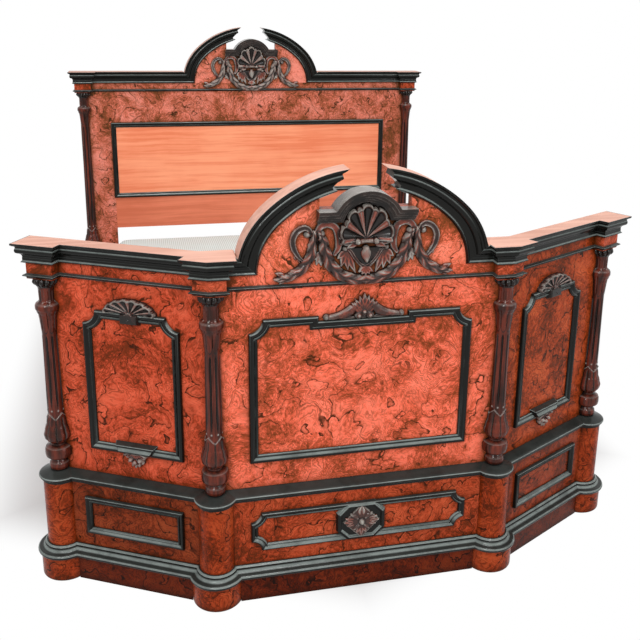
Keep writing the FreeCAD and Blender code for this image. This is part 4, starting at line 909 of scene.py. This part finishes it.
EAR = (-22, 74)
EAR_TIPS = [(-68, 86), (-65, 72), (-48, 61)]
BAR = [(-14, 76.5, 7.5), (0, 77.5, 6.5)]
BAR_EYE = (-23, 76.5)
CREST_STROKES = [
    ("spray", PALE_LEAF, PALE_LEAF_TIPS, 8, 7, 0.72, 1.0),
    ("spray", FAR_LEAF, FAR_LEAF_TIPS, 6, 7, TONE_BROWN, 0.8),
    ("ribbon", LOOP, 13, 0.50, TONE_DARK),
    ("ribbon", CURL, 12, TONE_DARK, 0.66),
    ("leafage", TAIL, 16, 36, 0.12, 0.86),
    ("spray", TAIL_LEAF, TAIL_TIPS, 7, 10, TONE_BROWN, TONE_PALE),
    ("knob", -147, 97, 8.5, 16, TONE_BROWN),
    ("leafage", SWAG, 19, 36, 0.12, 0.84),
    ("knob", -112, 98, 9.5, 18, TONE_BROWN),
    ("spray", ACANTHUS, ACANTHUS_TIPS, 10, 15, 0.24, 1.0),
    ("spray", LOWER_LEAF, LOWER_LEAF_TIPS, 7, 20, 0.5, TONE_PALE),
    ("shield", 10, 60, 4, 6, TONE_BLACK),
    ("ribbon", SHIELD, 12, TONE_BROWN, 0.62),
    ("knob", -52, 58, 8, 14, TONE_BROWN),
    # The boss is painted pale grey as a painted highlight
    ("roll", BOSS, 24, 0.68),
    ("shell", 82, 68, 86, 5, 190.0, 24, 0.42, 0.10),
    ("spray", EAR, EAR_TIPS, 10.5, 21, 0.50, 1.0),
    ("roll", BAR, 22, 0.40),
    ("knob", *BAR_EYE, 11, 20, TONE_BLACK),
    ("knob", *BAR_EYE, 8.2, 32, 0.84),
]
# Cresting on the lowered middle of the centre frame
CRESTING_HALF = 108
CRESTING_SPAN = (-6, 70)
CRESTING_ARM = [(-99, 8, 6), (-85, 9, 7.5), (-64, 12, 9.5), (-44, 18, 12.5), (-29, 29, 12), (-23, 39, 7)]
CRESTING_LEAVES = [(-32, 43), (-23, 52), (-12, 60), (0, 67)]
CRESTING_FILL = [(-60, 19), (-48, 28)]
CRESTING_EYE = (-14.5, 11)
CRESTING_STROKES = [
    ("spray", (-34, 10), CRESTING_FILL, 7, 8, TONE_BROWN, 0.62),
    ("block", 98, 0, 9, 6, TONE_DARK),
    ("roll", CRESTING_ARM, 13, 0.36),
    ("knob", -97, 9.5, 8.5, 15, TONE_DARK),
    ("spray", (0, 12), CRESTING_LEAVES, 10.5, 17, TONE_DARK, 0.76),
    ("knob", *CRESTING_EYE, 11.5, 16, TONE_DARK),
    ("knob", *CRESTING_EYE, 6.5, 20, 0.64),
    ("knob", 0, 20, 6, 18, TONE_RED),
]
# Shells over the wing frames, with a small tablet across the frame's bar
WING_SHELL_HALF = 74
WING_SHELL_SPAN = (-34, 42)
TABLET_LEAVES = [(-10, -1), (-6, 5), (0, 6)]
WING_SHELL_STROKES = [
    ("shell", -2, 70, 39, 8, 178.0, 16, 0.5, 0.04),
    ("cut_below", 0),
    ("block", 66, -1, 6, 10, TONE_DARK),
    ("block", 27, -29, 3, 16, TONE_BLACK),
    ("spray", (0, -8), TABLET_LEAVES, 4.5, 21, TONE_DARK, TONE_RED),
    ("knob", 0, -15, 6.5, 19, TONE_BLACK),
]
# Drops under the wing frames: an ebonised tablet with a carved leaf pendant
DROP_HALF = 66
DROP_SPAN = (-42, 36)
DROP_LOW = 5
DROP_HIGH = 32
DROP_GROUND = 12
DROP_LOW_HALF = 46
DROP_HIGH_HALF = 60
DROP_SLOPE = 4.0
PENDANT_LEAVES = [(-26, -6), (-21, -20), (-10, -30), (0, -33)]
PENDANT_ROLL = [(-30, 4, 4), (-14, 10, 6), (0, 8, 6)]
PENDANT_STROKES = [
    ("spray", (0, 12), PENDANT_LEAVES, 11, 20, TONE_BROWN, 0.9),
    ("roll", PENDANT_ROLL, 20, 0.46),
    ("knob", -27, 2, 6, 18, TONE_BROWN),
    ("knob", -13, -10, 8.5, 22, 0.66),
    ("knob", 0, -16, 8.5, 24, 0.5),
]
# Rosette in the middle of the base: a moulded octagon, as keys of inset and height, under a carved diamond
ROSETTE_HALF = 70
ROSETTE_SPAN = (-60, 60)
PLATE_HALF = 67
PLATE_RISE = 56
PLATE_CUT = 94
PLATE_CUT_SLOPE = 0.7
PLATE_SECTION = [(-RELIEF_SINK / BLOCK_SLOPE, -RELIEF_SINK), (3.5, 10.5), (5, 10.5), (8.75, 13.5),
                 (11, 13.5), (15, 7.5)]
ROSETTE_SIDE = [(-43, 11), (-47, 0), (-39, -11)]
ROSETTE_LOW = [(-13, -34), (0, -42)]
ROSETTE_UPPER_ROLL = [(-11, 10, 6), (-19, 17, 9.5), (-27, 21, 5)]
ROSETTE_LOWER_ROLL = [(-7, -10, 5), (-14, -17, 8), (-20, -22, 5)]
ROSETTE_STROKES = [
    ("diamond", 56, 11.5, 0.24),
    ("spray", (-8, 0), ROSETTE_SIDE, 8.5, 19, TONE_RED, 0.86),
    ("spray", (0, 10), [(0, 48)], 14, 20, TONE_RED, 1.0),
    ("spray", (0, -8), ROSETTE_LOW, 9.5, 19, TONE_RED, 0.80),
    ("roll", ROSETTE_UPPER_ROLL, 15.5, TONE_BROWN),
    ("roll", ROSETTE_LOWER_ROLL, 15.5, TONE_BROWN),
    ("knob", 0, 0, 9, 25, TONE_PALE),
]


def crest(step):
    return Relief(CREST_HALF, *CREST_SPAN, step).draw(CREST_STROKES)


def wing_tablet():
    relief = Relief(DROP_HALF, *DROP_SPAN)
    rise = np.clip((relief.z - DROP_LOW) / (DROP_HIGH - DROP_LOW), 0.0, 1.0)
    section = np.interp(rise, *zip(*FRAME_SECTION)) * FRAME_PROUD / MM + DROP_GROUND
    half = DROP_LOW_HALF + (DROP_HIGH_HALF - DROP_LOW_HALF) * rise
    inside = np.minimum(np.minimum(half - np.abs(relief.x), relief.z - DROP_LOW), DROP_HIGH - relief.z)
    relief.lay(np.clip(np.minimum(section, inside * DROP_SLOPE), -RELIEF_SINK, None), TONE_BLACK)
    return relief


def rosette_plate():
    relief = Relief(ROSETTE_HALF, *ROSETTE_SPAN)
    edge = np.minimum(PLATE_HALF - np.abs(relief.x), PLATE_RISE - np.abs(relief.z))
    corner = (PLATE_CUT - np.abs(relief.x) - np.abs(relief.z)) * PLATE_CUT_SLOPE
    relief.lay(np.interp(np.minimum(edge, corner), *zip(*PLATE_SECTION)), TONE_BLACK)
    return relief


def carve(looks):
    """Every carved piece: its relief, the places it stands at, its slot and the nodes it replaces."""
    cresting = Relief(CRESTING_HALF, *CRESTING_SPAN).draw(CRESTING_STROKES)
    shell = Relief(WING_SHELL_HALF, *WING_SHELL_SPAN).draw(WING_SHELL_STROKES)
    pendant = Relief(DROP_HALF, *DROP_SPAN).draw(PENDANT_STROKES)
    rosette = Relief(ROSETTE_HALF, *ROSETTE_SPAN).draw(ROSETTE_STROKES)
    foot = [Matrix.Translation(FOOT_CREST)]
    head = [Matrix.Translation(FOOT_CREST + HEAD_SHIFT)]
    centre = [Matrix.Translation((0.0, PANEL_FACE, CRESTING_LEVEL))]
    base = [Matrix.Translation((0.0, BASE_FACE, BASE_MIDDLE))]
    shells = wing_places(PANEL_FACE, FRAME_HIGH, WING_SHIFT)
    drops = wing_places(PANEL_FACE, FRAME_LOW, WING_SHIFT)
    foot_nodes = ("foot_crest_shell", "foot_crest_scrolls")
    head_nodes = ("head_crest_shell", "head_crest_scrolls")
    pieces = {
        "foot_crest_carving": (crest(RELIEF_STEP), foot, "carved_walnut", foot_nodes),
        "head_crest_carving": (crest(HEAD_STEP), head, "carved_walnut", head_nodes),
        "centre_cresting_carving": (cresting, centre, "carved_walnut", ("foot_centre_cresting",)),
        "wing_shell_carving": (shell, shells, "carved_walnut", ("foot_wing_shells",)),
        "wing_drop_tablets": (wing_tablet(), drops, "ebonised_wood", ("foot_wing_drops",)),
        "wing_drop_carving": (pendant, drops, "carved_walnut", ("foot_wing_drops",)),
        "rosette_plate": (rosette_plate(), base, "ebonised_wood", ("foot_rosette",)),
        "rosette_carving": (rosette, base, "carved_walnut", ("foot_rosette",)),
    }
    for name, (relief, places, slot, nodes) in pieces.items():
        piece = add_piece(name, relief.mesh(name, places), looks[slot])
        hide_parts(*nodes)


# Applied frames: a moulded section, as shares of width and height from the outer edge inwards, mitred
FRAME_SECTION = [(0.0, 0.52), (0.06, 0.80), (0.14, 0.95), (0.26, 1.0), (0.36, 0.93), (0.52, 0.64),
                 (0.66, 0.48), (0.70, 0.60), (0.80, 0.66), (0.90, 0.58), (1.0, 0.30)]
FRAME_WIDTH = 0.022
BASE_FRAME_WIDTH = 0.018
FRAME_PROUD = 0.010
FRAME_NOTCH = 0.035
FRAME_STEP = 0.0135
FRAME_STEP_HALF = 0.116
BASE_NOTCH = 0.027
WING_FRAME_MARGIN = 0.0915
WING_BASE_MARGIN = 0.0825
NOTCH_ANGLES = np.linspace(0.0, math.pi / 2, 13)
SHARP_ANGLE = math.radians(32.0)


def notch_arc(x, z, radius):
    """A quarter circle round an outer corner, from its upright side to its level side."""
    way_x = -math.copysign(radius, x)
    way_z = -math.copysign(radius, z)
    return [(x + way_x * math.sin(angle), z + way_z * math.cos(angle)) for angle in NOTCH_ANGLES]


def frame_outline(half, rise, upper_notch, lower_notch, step):
    """Clockwise outline about the frame's middle, notched at its corners; a step lowers the top's middle."""
    upper = notch_arc(-half, rise, upper_notch) if upper_notch else [(-half, rise)]
    lower = notch_arc(-half, -rise, lower_notch)[::-1] if lower_notch else [(-half, -rise)]
    steps = [(-FRAME_STEP_HALF, rise), (-FRAME_STEP_HALF, rise - step)] if step else []
    left = lower + upper + steps
    return left + [(-x, z) for x, z in reversed(left)]


def moulded_frame(name, outline, width, places):
    corners = np.array(outline)
    ways = [corners - np.roll(corners, 1, axis=0), np.roll(corners, -1, axis=0) - corners]
    first, second = [np.stack([way[:, 1], -way[:, 0]], axis=1) / np.linalg.norm(way, axis=1, keepdims=True)
                     for way in ways]
    inward = (first + second) / (1.0 + np.sum(first * second, axis=1, keepdims=True))
    section = [(0.0, -RELIEF_SINK * MM)] + [(a * width, b * FRAME_PROUD) for a, b in FRAME_SECTION]
    section.append((width, -RELIEF_SINK * MM))
    rings = []
    for inset, height in section:
        line = corners + inward * inset
        rings.append(np.column_stack([line[:, 0], np.full(len(line), -height), line[:, 1]]))
    return swept_mesh(name, np.array(rings), True, places)


def swept_mesh(name, rings, closed, places):
    """Quads between rings of points; a closed sweep also joins the last ring to the first."""
    count, around = rings.shape[:2]
    number = np.arange(count * around).reshape(count, around)
    turned = np.roll(number, -1, axis=1)
    quads = np.stack([number, np.roll(number, -1, axis=0), np.roll(turned, -1, axis=0), turned], axis=2)
    if not closed:
        quads = quads[:-1]
    mesh = placed_mesh(name, rings.reshape(-1, 3), quads.reshape(-1, 4), places)
    smooth_faces(mesh)
    mesh.set_sharp_from_angle(angle=SHARP_ANGLE)
    return mesh


def half_of(node):
    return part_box(node)[1][0]


def frames(look):
    """Every frame: half-width, half-height, upper and lower notch, step, width of moulding and places."""
    wing_half = WING_WAY.length * 0.5
    upper, upper_rise = middle_and_rise("foot_centre_frame")
    head, head_rise = middle_and_rise("head_panel_frame")
    centre_places = [Matrix.Translation((0.0, PANEL_FACE, upper))]
    base_places = [Matrix.Translation((0.0, BASE_FACE, BASE_MIDDLE))]
    head_places = [Matrix.Translation((0.0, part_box("head_panel_frame")[1][1], head))]
    kinds = {
        "foot_centre_frame": (half_of("foot_centre_frame"), upper_rise, FRAME_NOTCH, 0.0, FRAME_STEP,
                              FRAME_WIDTH, centre_places),
        "foot_wing_frames": (wing_half - WING_FRAME_MARGIN, upper_rise, FRAME_NOTCH, 0.0, 0.0, FRAME_WIDTH,
                             wing_places(PANEL_FACE, upper, WING_SHIFT)),
        "foot_centre_base_frame": (half_of("foot_centre_base_frame"), BASE_RISE, BASE_NOTCH, BASE_NOTCH, 0.0,
                                   BASE_FRAME_WIDTH, base_places),
        "foot_wing_base_frames": (wing_half - WING_BASE_MARGIN, BASE_RISE, 0.0, 0.0, 0.0, BASE_FRAME_WIDTH,
                                  wing_places(BASE_FACE, BASE_MIDDLE)),
        "head_panel_frame": (half_of("head_panel_frame"), head_rise, 0.0, 0.0, 0.0, FRAME_WIDTH,
                             head_places),
    }
    for node, (*outline, width, places) in kinds.items():
        mesh = moulded_frame(node + "_moulding", frame_outline(*outline), width, places)
        piece = add_piece(node + "_moulding", mesh, look)
        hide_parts(node)


# Columns, in millimetres: turned keys of height, or depth below the top, and radius
COLUMN_SIDES = 144
COLUMN_STEP = 2.2
COLUMN_PETALS = 8
COLUMN_FOOT = [(0, 22.5), (5, 25.8), (12, 27.2), (19, 25.8), (25, 21.5), (30, 19), (34, 23), (37, 31.5),
               (41, 34.5), (50, 35.5), (60, 35), (66, 32.5), (70, 25), (74, 18.5), (79, 20.5), (86, 27.6),
               (94, 32.6), (103, 34), (116, 30.8), (136, 24), (154, 21.2), (162, 21)]
COLUMN_HEAD = [(0, 29), (4, 31.2), (9, 32.6), (14, 30), (19, 23.6), (24, 20.6), (30, 19.8), (58, 19.4),
               (62, 20.6), (66, 26.4), (72, 29.2), (80, 29.4), (88, 26.2), (98, 22.4), (112, 20.8),
               (130, 19.7), (147, 18.9)]
CREASE_WIDTH = 0.16
PETAL_DEPTH = 3
# Flutes of the shaft, darkened as painted shade, and the dots under them by size, rise and tone
FLUTE_FOOT = 176
FLUTE_TAPER = 30
FLUTE_HEAD = 152
FLUTE_END = 8
FLUTE_DEPTH = 3.4
FLUTE_WIDTH = 0.36
LEAST_WIDTH = 1e-4
FLUTE_SHADE_TONE = 0.6
DOT_LEVEL = 172.5
DOTS = (2.6, 1.6, 0.8)
# Petals of the vase at the foot, with a lip that waves round it
VASE = (78, 154)
VASE_SOFT = 6
VASE_SWELL = 0.5
VASE_CUT = 1.1
VASE_LINE = (0.86, 0.07)
VASE_TONE = 0.30
LIP_PETALS = 4
LIP_DROP = 6
LIP_WAVE = 17
LIP_WIDTH = 1.6
LIP_RISE = 1.4
LIP_TONE = 0.55
FLARE_DROP = 30
FLARE_RUN = 40
FLARE_LEAST = 0.7
FLARE_RISE = 2.4
# Petals of the tulip under the neck, with a painted highlight along its top and a painted shadow under its
# petals' ends
TULIP = (66, 134)
TULIP_SOFT = 4
TULIP_WAVE = 14
TULIP_DROP = 4
TULIP_RUN = 30
TULIP_SWELL = 0.4
TULIP_CUT = 0.7
TULIP_CUT_RUN = 12
TULIP_EDGE = 2
TULIP_HIGHLIGHT_LINE = 3
TULIP_SHADOW = 2
TULIP_HIGHLIGHT_TONE = 0.30
TULIP_SHADOW_TONE = 0.5
# Fluted neck with its studs, lobed capital by depth and softness, and pale lines as painted highlights round
# the foot's rings
NECK = (28, 62)
NECK_SOFT = 6
NECK_DEPTH = 1.6
STUDS = (2, 1.4, 0.7)
CAPITAL = (-10, 22, 5)
CAPITAL_LOBES = 12
LOBE_DEPTH = 5.5
LOBE_POWER = 1.5
CAPITAL_DARK = (-10, 26, 4)
CAPITAL_TONE = 0.45
RING_HIGHLIGHT_LEVELS = (21, 67.2)
RING_HIGHLIGHT_LINE = 1.4
RING_HIGHLIGHT_TONE = 0.40


def eased(value, keys):
    """Smooth steps through keys of place and size."""
    places, sizes = (np.array(column) for column in zip(*keys))
    index = np.clip(np.searchsorted(places, value, side="right") - 1, 0, len(places) - 2)
    t = np.clip((value - places[index]) / (places[index + 1] - places[index]), 0.0, 1.0)
    return sizes[index] + (sizes[index + 1] - sizes[index]) * t * t * (3.0 - 2.0 * t)


def bell(value, middle, width):
    return np.exp(-((value - middle) / width) ** 2)


def gate(value, low, high, soft):
    return np.clip((value - low) / soft, 0.0, 1.0) * np.clip((high - value) / soft, 0.0, 1.0)


class Turning:
    """A column's surface: radius and tone over height and angle."""

    def __init__(self, height):
        keys = COLUMN_FOOT + [(height - depth, radius) for depth, radius in reversed(COLUMN_HEAD)]
        self.up = np.linspace(0.0, height, int(height / COLUMN_STEP))[:, None]
        self.down = height - self.up
        self.angle = np.linspace(0.0, math.tau, COLUMN_SIDES, endpoint=False)[None, :]
        self.side = sawtooth(self.angle / math.tau * COLUMN_PETALS)
        self.crease = bell(np.abs(self.side), 1.0, CREASE_WIDTH)
        self.radius = eased(self.up, keys) + np.zeros_like(self.angle)
        self.tone = np.zeros_like(self.radius)
        for cut in (self.flutes, self.vase, self.lip, self.tulip, self.neck, self.capital):
            cut()

    def dots(self, offset, size, rise, tone):
        """A small pale dot in the middle of each petal, by the offset from its level."""
        across = self.side * math.pi / COLUMN_PETALS * self.radius
        dot = bell(np.hypot(across, offset), 0.0, size)
        self.radius += rise * dot
        self.tone += tone * dot

    def flutes(self):
        reach = np.clip((self.up - FLUTE_FOOT) / FLUTE_TAPER, 0.0, 1.0)
        reach = reach * np.clip((self.down - FLUTE_HEAD) / FLUTE_END, 0.0, 1.0)
        width = np.maximum(FLUTE_WIDTH * np.sqrt(reach), LEAST_WIDTH)
        flute = np.sqrt(np.clip(1.0 - (self.side / width) ** 2, 0.0, None)) * np.sqrt(reach)
        self.radius -= FLUTE_DEPTH * flute
        # Painted shade: the flutes are darkened
        self.tone -= FLUTE_SHADE_TONE * flute
        self.dots(self.up - DOT_LEVEL, *DOTS)

    def vase(self):
        vase = gate(self.up, *VASE, VASE_SOFT)
        self.radius += vase * PETAL_DEPTH * (VASE_SWELL * (1.0 - self.side ** 2) - VASE_CUT * self.crease)
        self.tone += VASE_TONE * vase * bell(np.abs(self.side), *VASE_LINE)

    def lip(self):
        lip = VASE[1] - LIP_DROP + LIP_WAVE * np.abs(sawtooth(self.angle / math.tau * LIP_PETALS + 0.5))
        edge = bell(self.up, lip, LIP_WIDTH)
        flare = np.clip((self.up - VASE[1] + FLARE_DROP) / FLARE_RUN, 0.0, 1.0)
        inside = (self.up < lip) & (flare > 0.0)
        self.radius += LIP_RISE * edge + np.where(inside, FLARE_LEAST + FLARE_RISE * flare ** 2, 0.0)
        self.tone += LIP_TONE * edge

    def tulip(self):
        petal_end = TULIP[1] + TULIP_WAVE * (1.0 - self.side ** 2) - TULIP_DROP
        inside = (self.down > TULIP[0]) & (self.down < petal_end)
        swell = np.sqrt(np.clip((petal_end - self.down) / TULIP_RUN, 0.0, 1.0))
        self.radius += np.where(inside, PETAL_DEPTH * swell * TULIP_SWELL, 0.0)
        cut = np.clip((self.down - TULIP[0] - TULIP_CUT_RUN) / TULIP_CUT_RUN, 0.0, 1.0)
        self.radius -= PETAL_DEPTH * TULIP_CUT * self.crease * gate(self.down, *TULIP, TULIP_SOFT) * cut
        # Painted highlight: a pale line along the tulip's top
        self.tone += TULIP_HIGHLIGHT_TONE * bell(self.down, TULIP[0] + TULIP_EDGE, TULIP_HIGHLIGHT_LINE)
        self.tone -= TULIP_SHADOW_TONE * bell(self.down, petal_end + TULIP_EDGE, TULIP_SHADOW)

    def neck(self):
        neck = gate(self.down, *NECK, NECK_SOFT)
        self.radius -= NECK_DEPTH * neck * np.abs(np.cos(self.angle * COLUMN_PETALS))
        self.dots(self.down - NECK[1], *STUDS)

    def capital(self):
        lobe = np.abs(np.sin(self.angle * CAPITAL_LOBES * 0.5))
        self.radius -= gate(self.down, *CAPITAL) * LOBE_DEPTH * (1.0 - lobe) ** LOBE_POWER
        self.tone -= CAPITAL_TONE * gate(self.down, *CAPITAL_DARK)
        # Painted highlight: pale lines on the upper faces of the foot's rings
        for level in RING_HIGHLIGHT_LEVELS:
            self.tone += RING_HIGHLIGHT_TONE * bell(self.up, level, RING_HIGHLIGHT_LINE)
        self.tone = np.clip(self.tone, -1.0, 1.0)

    def rings(self):
        x = self.radius * np.cos(self.angle)
        y = self.radius * np.sin(self.angle)
        return np.stack([x, y, self.up + np.zeros_like(self.angle)], axis=2) * MM


def column_piece(node, axes, look):
    low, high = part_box(node)
    name = node + "_turning"
    turning = Turning((high[2] - low[2]) / MM)
    places = [Matrix.Translation((axis.x, axis.y, low[2])) for axis in axes]
    mesh = swept_mesh(name, turning.rings(), False, places)
    paint(mesh, "tone", turning.tone.ravel(), len(places))
    piece = add_piece(name, mesh, look)
    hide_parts(node)


def columns(look):
    for name in ("outer_left", "inner_left", "inner_right", "outer_right"):
        column_piece("foot_column_" + name, [axis_of(name)], look)
    head_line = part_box("head_post_left")[0][1] - (PANEL_FACE - INNER_AXIS.y)
    column_piece("head_columns", [Vector((x, head_line, 0.0)) for x in (OUTER_AXIS.x, -OUTER_AXIS.x)], look)


# Mattress: a smaller block, swollen by pressure and held to the room between the rails
MATTRESS_SHRINK = 0.016
MATTRESS_BEVEL = 0.035
MATTRESS_BEVEL_STEPS = 4
MATTRESS_VOXEL = 0.02
MATTRESS_PRESSURE = 4.0
MATTRESS_FRAMES = 20
MATTRESS_SWELL = 0.014
LEAST_SHIFT = 1e-9


def bevelled_block(low, high):
    mesh = bpy.data.meshes.new("mattress_block")
    shape = bmesh.new()
    bmesh.ops.create_cube(shape, size=1.0)
    room = Vector(high) - Vector(low)
    middle = (Vector(high) + Vector(low)) * 0.5
    for vertex in shape.verts:
        vertex.co = Vector(a * (b - MATTRESS_SHRINK * 2) for a, b in zip(vertex.co, room)) + middle
    bmesh.ops.bevel(shape, geom=shape.edges[:], offset=MATTRESS_BEVEL, segments=MATTRESS_BEVEL_STEPS,
                    profile=0.5, affect="EDGES")
    shape.to_mesh(mesh)
    shape.free()
    return mesh


def applied(piece):
    """The mesh that the piece shows at this frame."""
    shown = piece.evaluated_get(bpy.context.evaluated_depsgraph_get())
    return bpy.data.meshes.new_from_object(shown)


def points_of(mesh):
    flat = np.empty(len(mesh.vertices) * 3)
    mesh.vertices.foreach_get("co", flat)
    return flat.reshape(-1, 3)


def remeshed_block(low, high):
    block = bpy.data.objects.new("mattress_block", bevelled_block(low, high))
    bpy.context.scene.collection.objects.link(block)
    remesh = block.modifiers.new("remesh", "REMESH")
    remesh.mode = "VOXEL"
    remesh.voxel_size = MATTRESS_VOXEL
    mesh = applied(block)
    block.modifiers.clear()
    block.data = mesh
    return block


def swollen_points(block):
    """The block's points after cloth pressure has pushed them out."""
    cloth = block.modifiers.new("cloth", "CLOTH")
    cloth.settings.use_pressure = True
    cloth.settings.uniform_pressure_force = MATTRESS_PRESSURE
    cloth.settings.effector_weights.gravity = 0.0
    cloth.point_cache.frame_end = MATTRESS_FRAMES
    for number in range(1, MATTRESS_FRAMES + 1):
        bpy.context.scene.frame_set(number)
    points = points_of(applied(block))
    bpy.context.scene.frame_set(1)
    return points


def mattress(look):
    low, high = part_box("mattress")
    block = remeshed_block(low, high)
    rest = points_of(block.data)
    shift = swollen_points(block) - rest
    reach = np.linalg.norm(shift, axis=1, keepdims=True)
    shift = shift * np.minimum(1.0, MATTRESS_SWELL / np.maximum(reach, LEAST_SHIFT))
    mesh = bpy.data.meshes.new_from_object(block)
    bpy.data.objects.remove(block)
    mesh.name = "mattress_ticking"
    mesh.vertices.foreach_set("co", np.clip(rest + shift, np.array(low), np.array(high)).ravel())
    smooth_faces(mesh)
    mesh.update()
    piece = add_piece("mattress_ticking", mesh, look, "mattress")
    piece.modifiers.new("smooth", "SUBSURF").render_levels = 1
    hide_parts("mattress")


def floor_look():
    """Matt near the bed and blank white further off, where the camera sees it."""
    look = Look("floor")
    place = look.split(look.place)
    across = look.math("ABSOLUTE", place["X"])
    way = WING_WAY.normalized()
    reach = INNER_AXIS.y - cad_box[0][1] - (INNER_AXIS.x * way.y + INNER_AXIS.y * way.x)
    slant = look.math("SUBTRACT", look.times(across, -way.y), look.times(place["Y"], way.x))
    beside = look.math("SUBTRACT", across, cad_box[1][0])
    before = look.math("SUBTRACT", look.math("ABSOLUTE", place["Y"]), cad_box[1][1])
    away = look.math("MAXIMUM", look.math("MAXIMUM", beside, before), look.math("SUBTRACT", slant, reach))
    blank = look.times(look.span(away, 0.0, FLOOR_FADE), look.seen())
    matt = look.add("ShaderNodeBsdfDiffuse", {"Color": FLOOR_COLOUR}).outputs[0]
    white = look.add("ShaderNodeEmission", {"Color": WHITE, "Strength": 1.0}).outputs[0]
    both = look.add("ShaderNodeMixShader", {0: blank, 1: matt, 2: white}).outputs[0]
    look.links.new(both, look.nodes["Material Output"].inputs["Surface"])
    return look.material


def floor():
    mesh = bpy.data.meshes.new("floor")
    corners = [(x * FLOOR_HALF, y * FLOOR_HALF, 0.0) for x, y in ((-1, -1), (1, -1), (1, 1), (-1, 1))]
    mesh.from_pydata(corners, [], [(0, 1, 2, 3)])
    piece = bpy.data.objects.new("floor", mesh)
    bpy.context.scene.collection.objects.link(piece)
    mesh.materials.append(floor_look())


def lamps():
    for name, (place, aim, size, power) in LAMPS.items():
        lamp = bpy.data.lights.new(name, "AREA")
        lamp.shape = "DISK"
        lamp.size = size
        lamp.energy = power
        lamp_object = bpy.data.objects.new(name, lamp)
        lamp_object.location = place
        lamp_object.rotation_euler = (Vector(aim) - Vector(place)).to_track_quat("-Z", "Y").to_euler()
        bpy.context.scene.collection.objects.link(lamp_object)


def surroundings():
    """White where the camera sees it, dimmer as a source of light."""
    world = bpy.data.worlds.new("studio")
    world.use_nodes = True
    tree = Nodes(world.node_tree)
    strength = tree.add("ShaderNodeMapRange", {"Value": tree.seen(), "To Min": WORLD_STRENGTH}).outputs[0]
    background = tree.nodes["Background"].inputs
    tree.feed(background["Strength"], strength)
    tree.feed(background["Color"], WHITE)
    bpy.context.scene.world = world
    bpy.context.scene.view_settings.view_transform = "Standard"


def camera():
    data = bpy.data.cameras.new("camera")
    data.lens = CAMERA_LENS
    data.shift_x, data.shift_y = CAMERA_SHIFT
    data.clip_end = FLOOR_HALF * 3
    view = bpy.data.objects.new("camera", data)
    turns = ((-CAMERA_YAW, "Z"), (math.pi / 2 + CAMERA_PITCH, "X"), (CAMERA_ROLL, "Z"))
    view.matrix_world = Matrix.Translation(CAMERA_PLACE)
    for angle, axis in turns:
        view.matrix_world = view.matrix_world @ Matrix.Rotation(angle, 4, axis)
    bpy.context.scene.collection.objects.link(view)
    bpy.context.scene.camera = view


looks = all_looks()
finish_nodes(looks)
carve(looks)
frames(looks["ebonised_wood"])
columns(looks["turned_mahogany"])
mattress(looks["ticking"])
floor()
lamps()
surroundings()
camera()
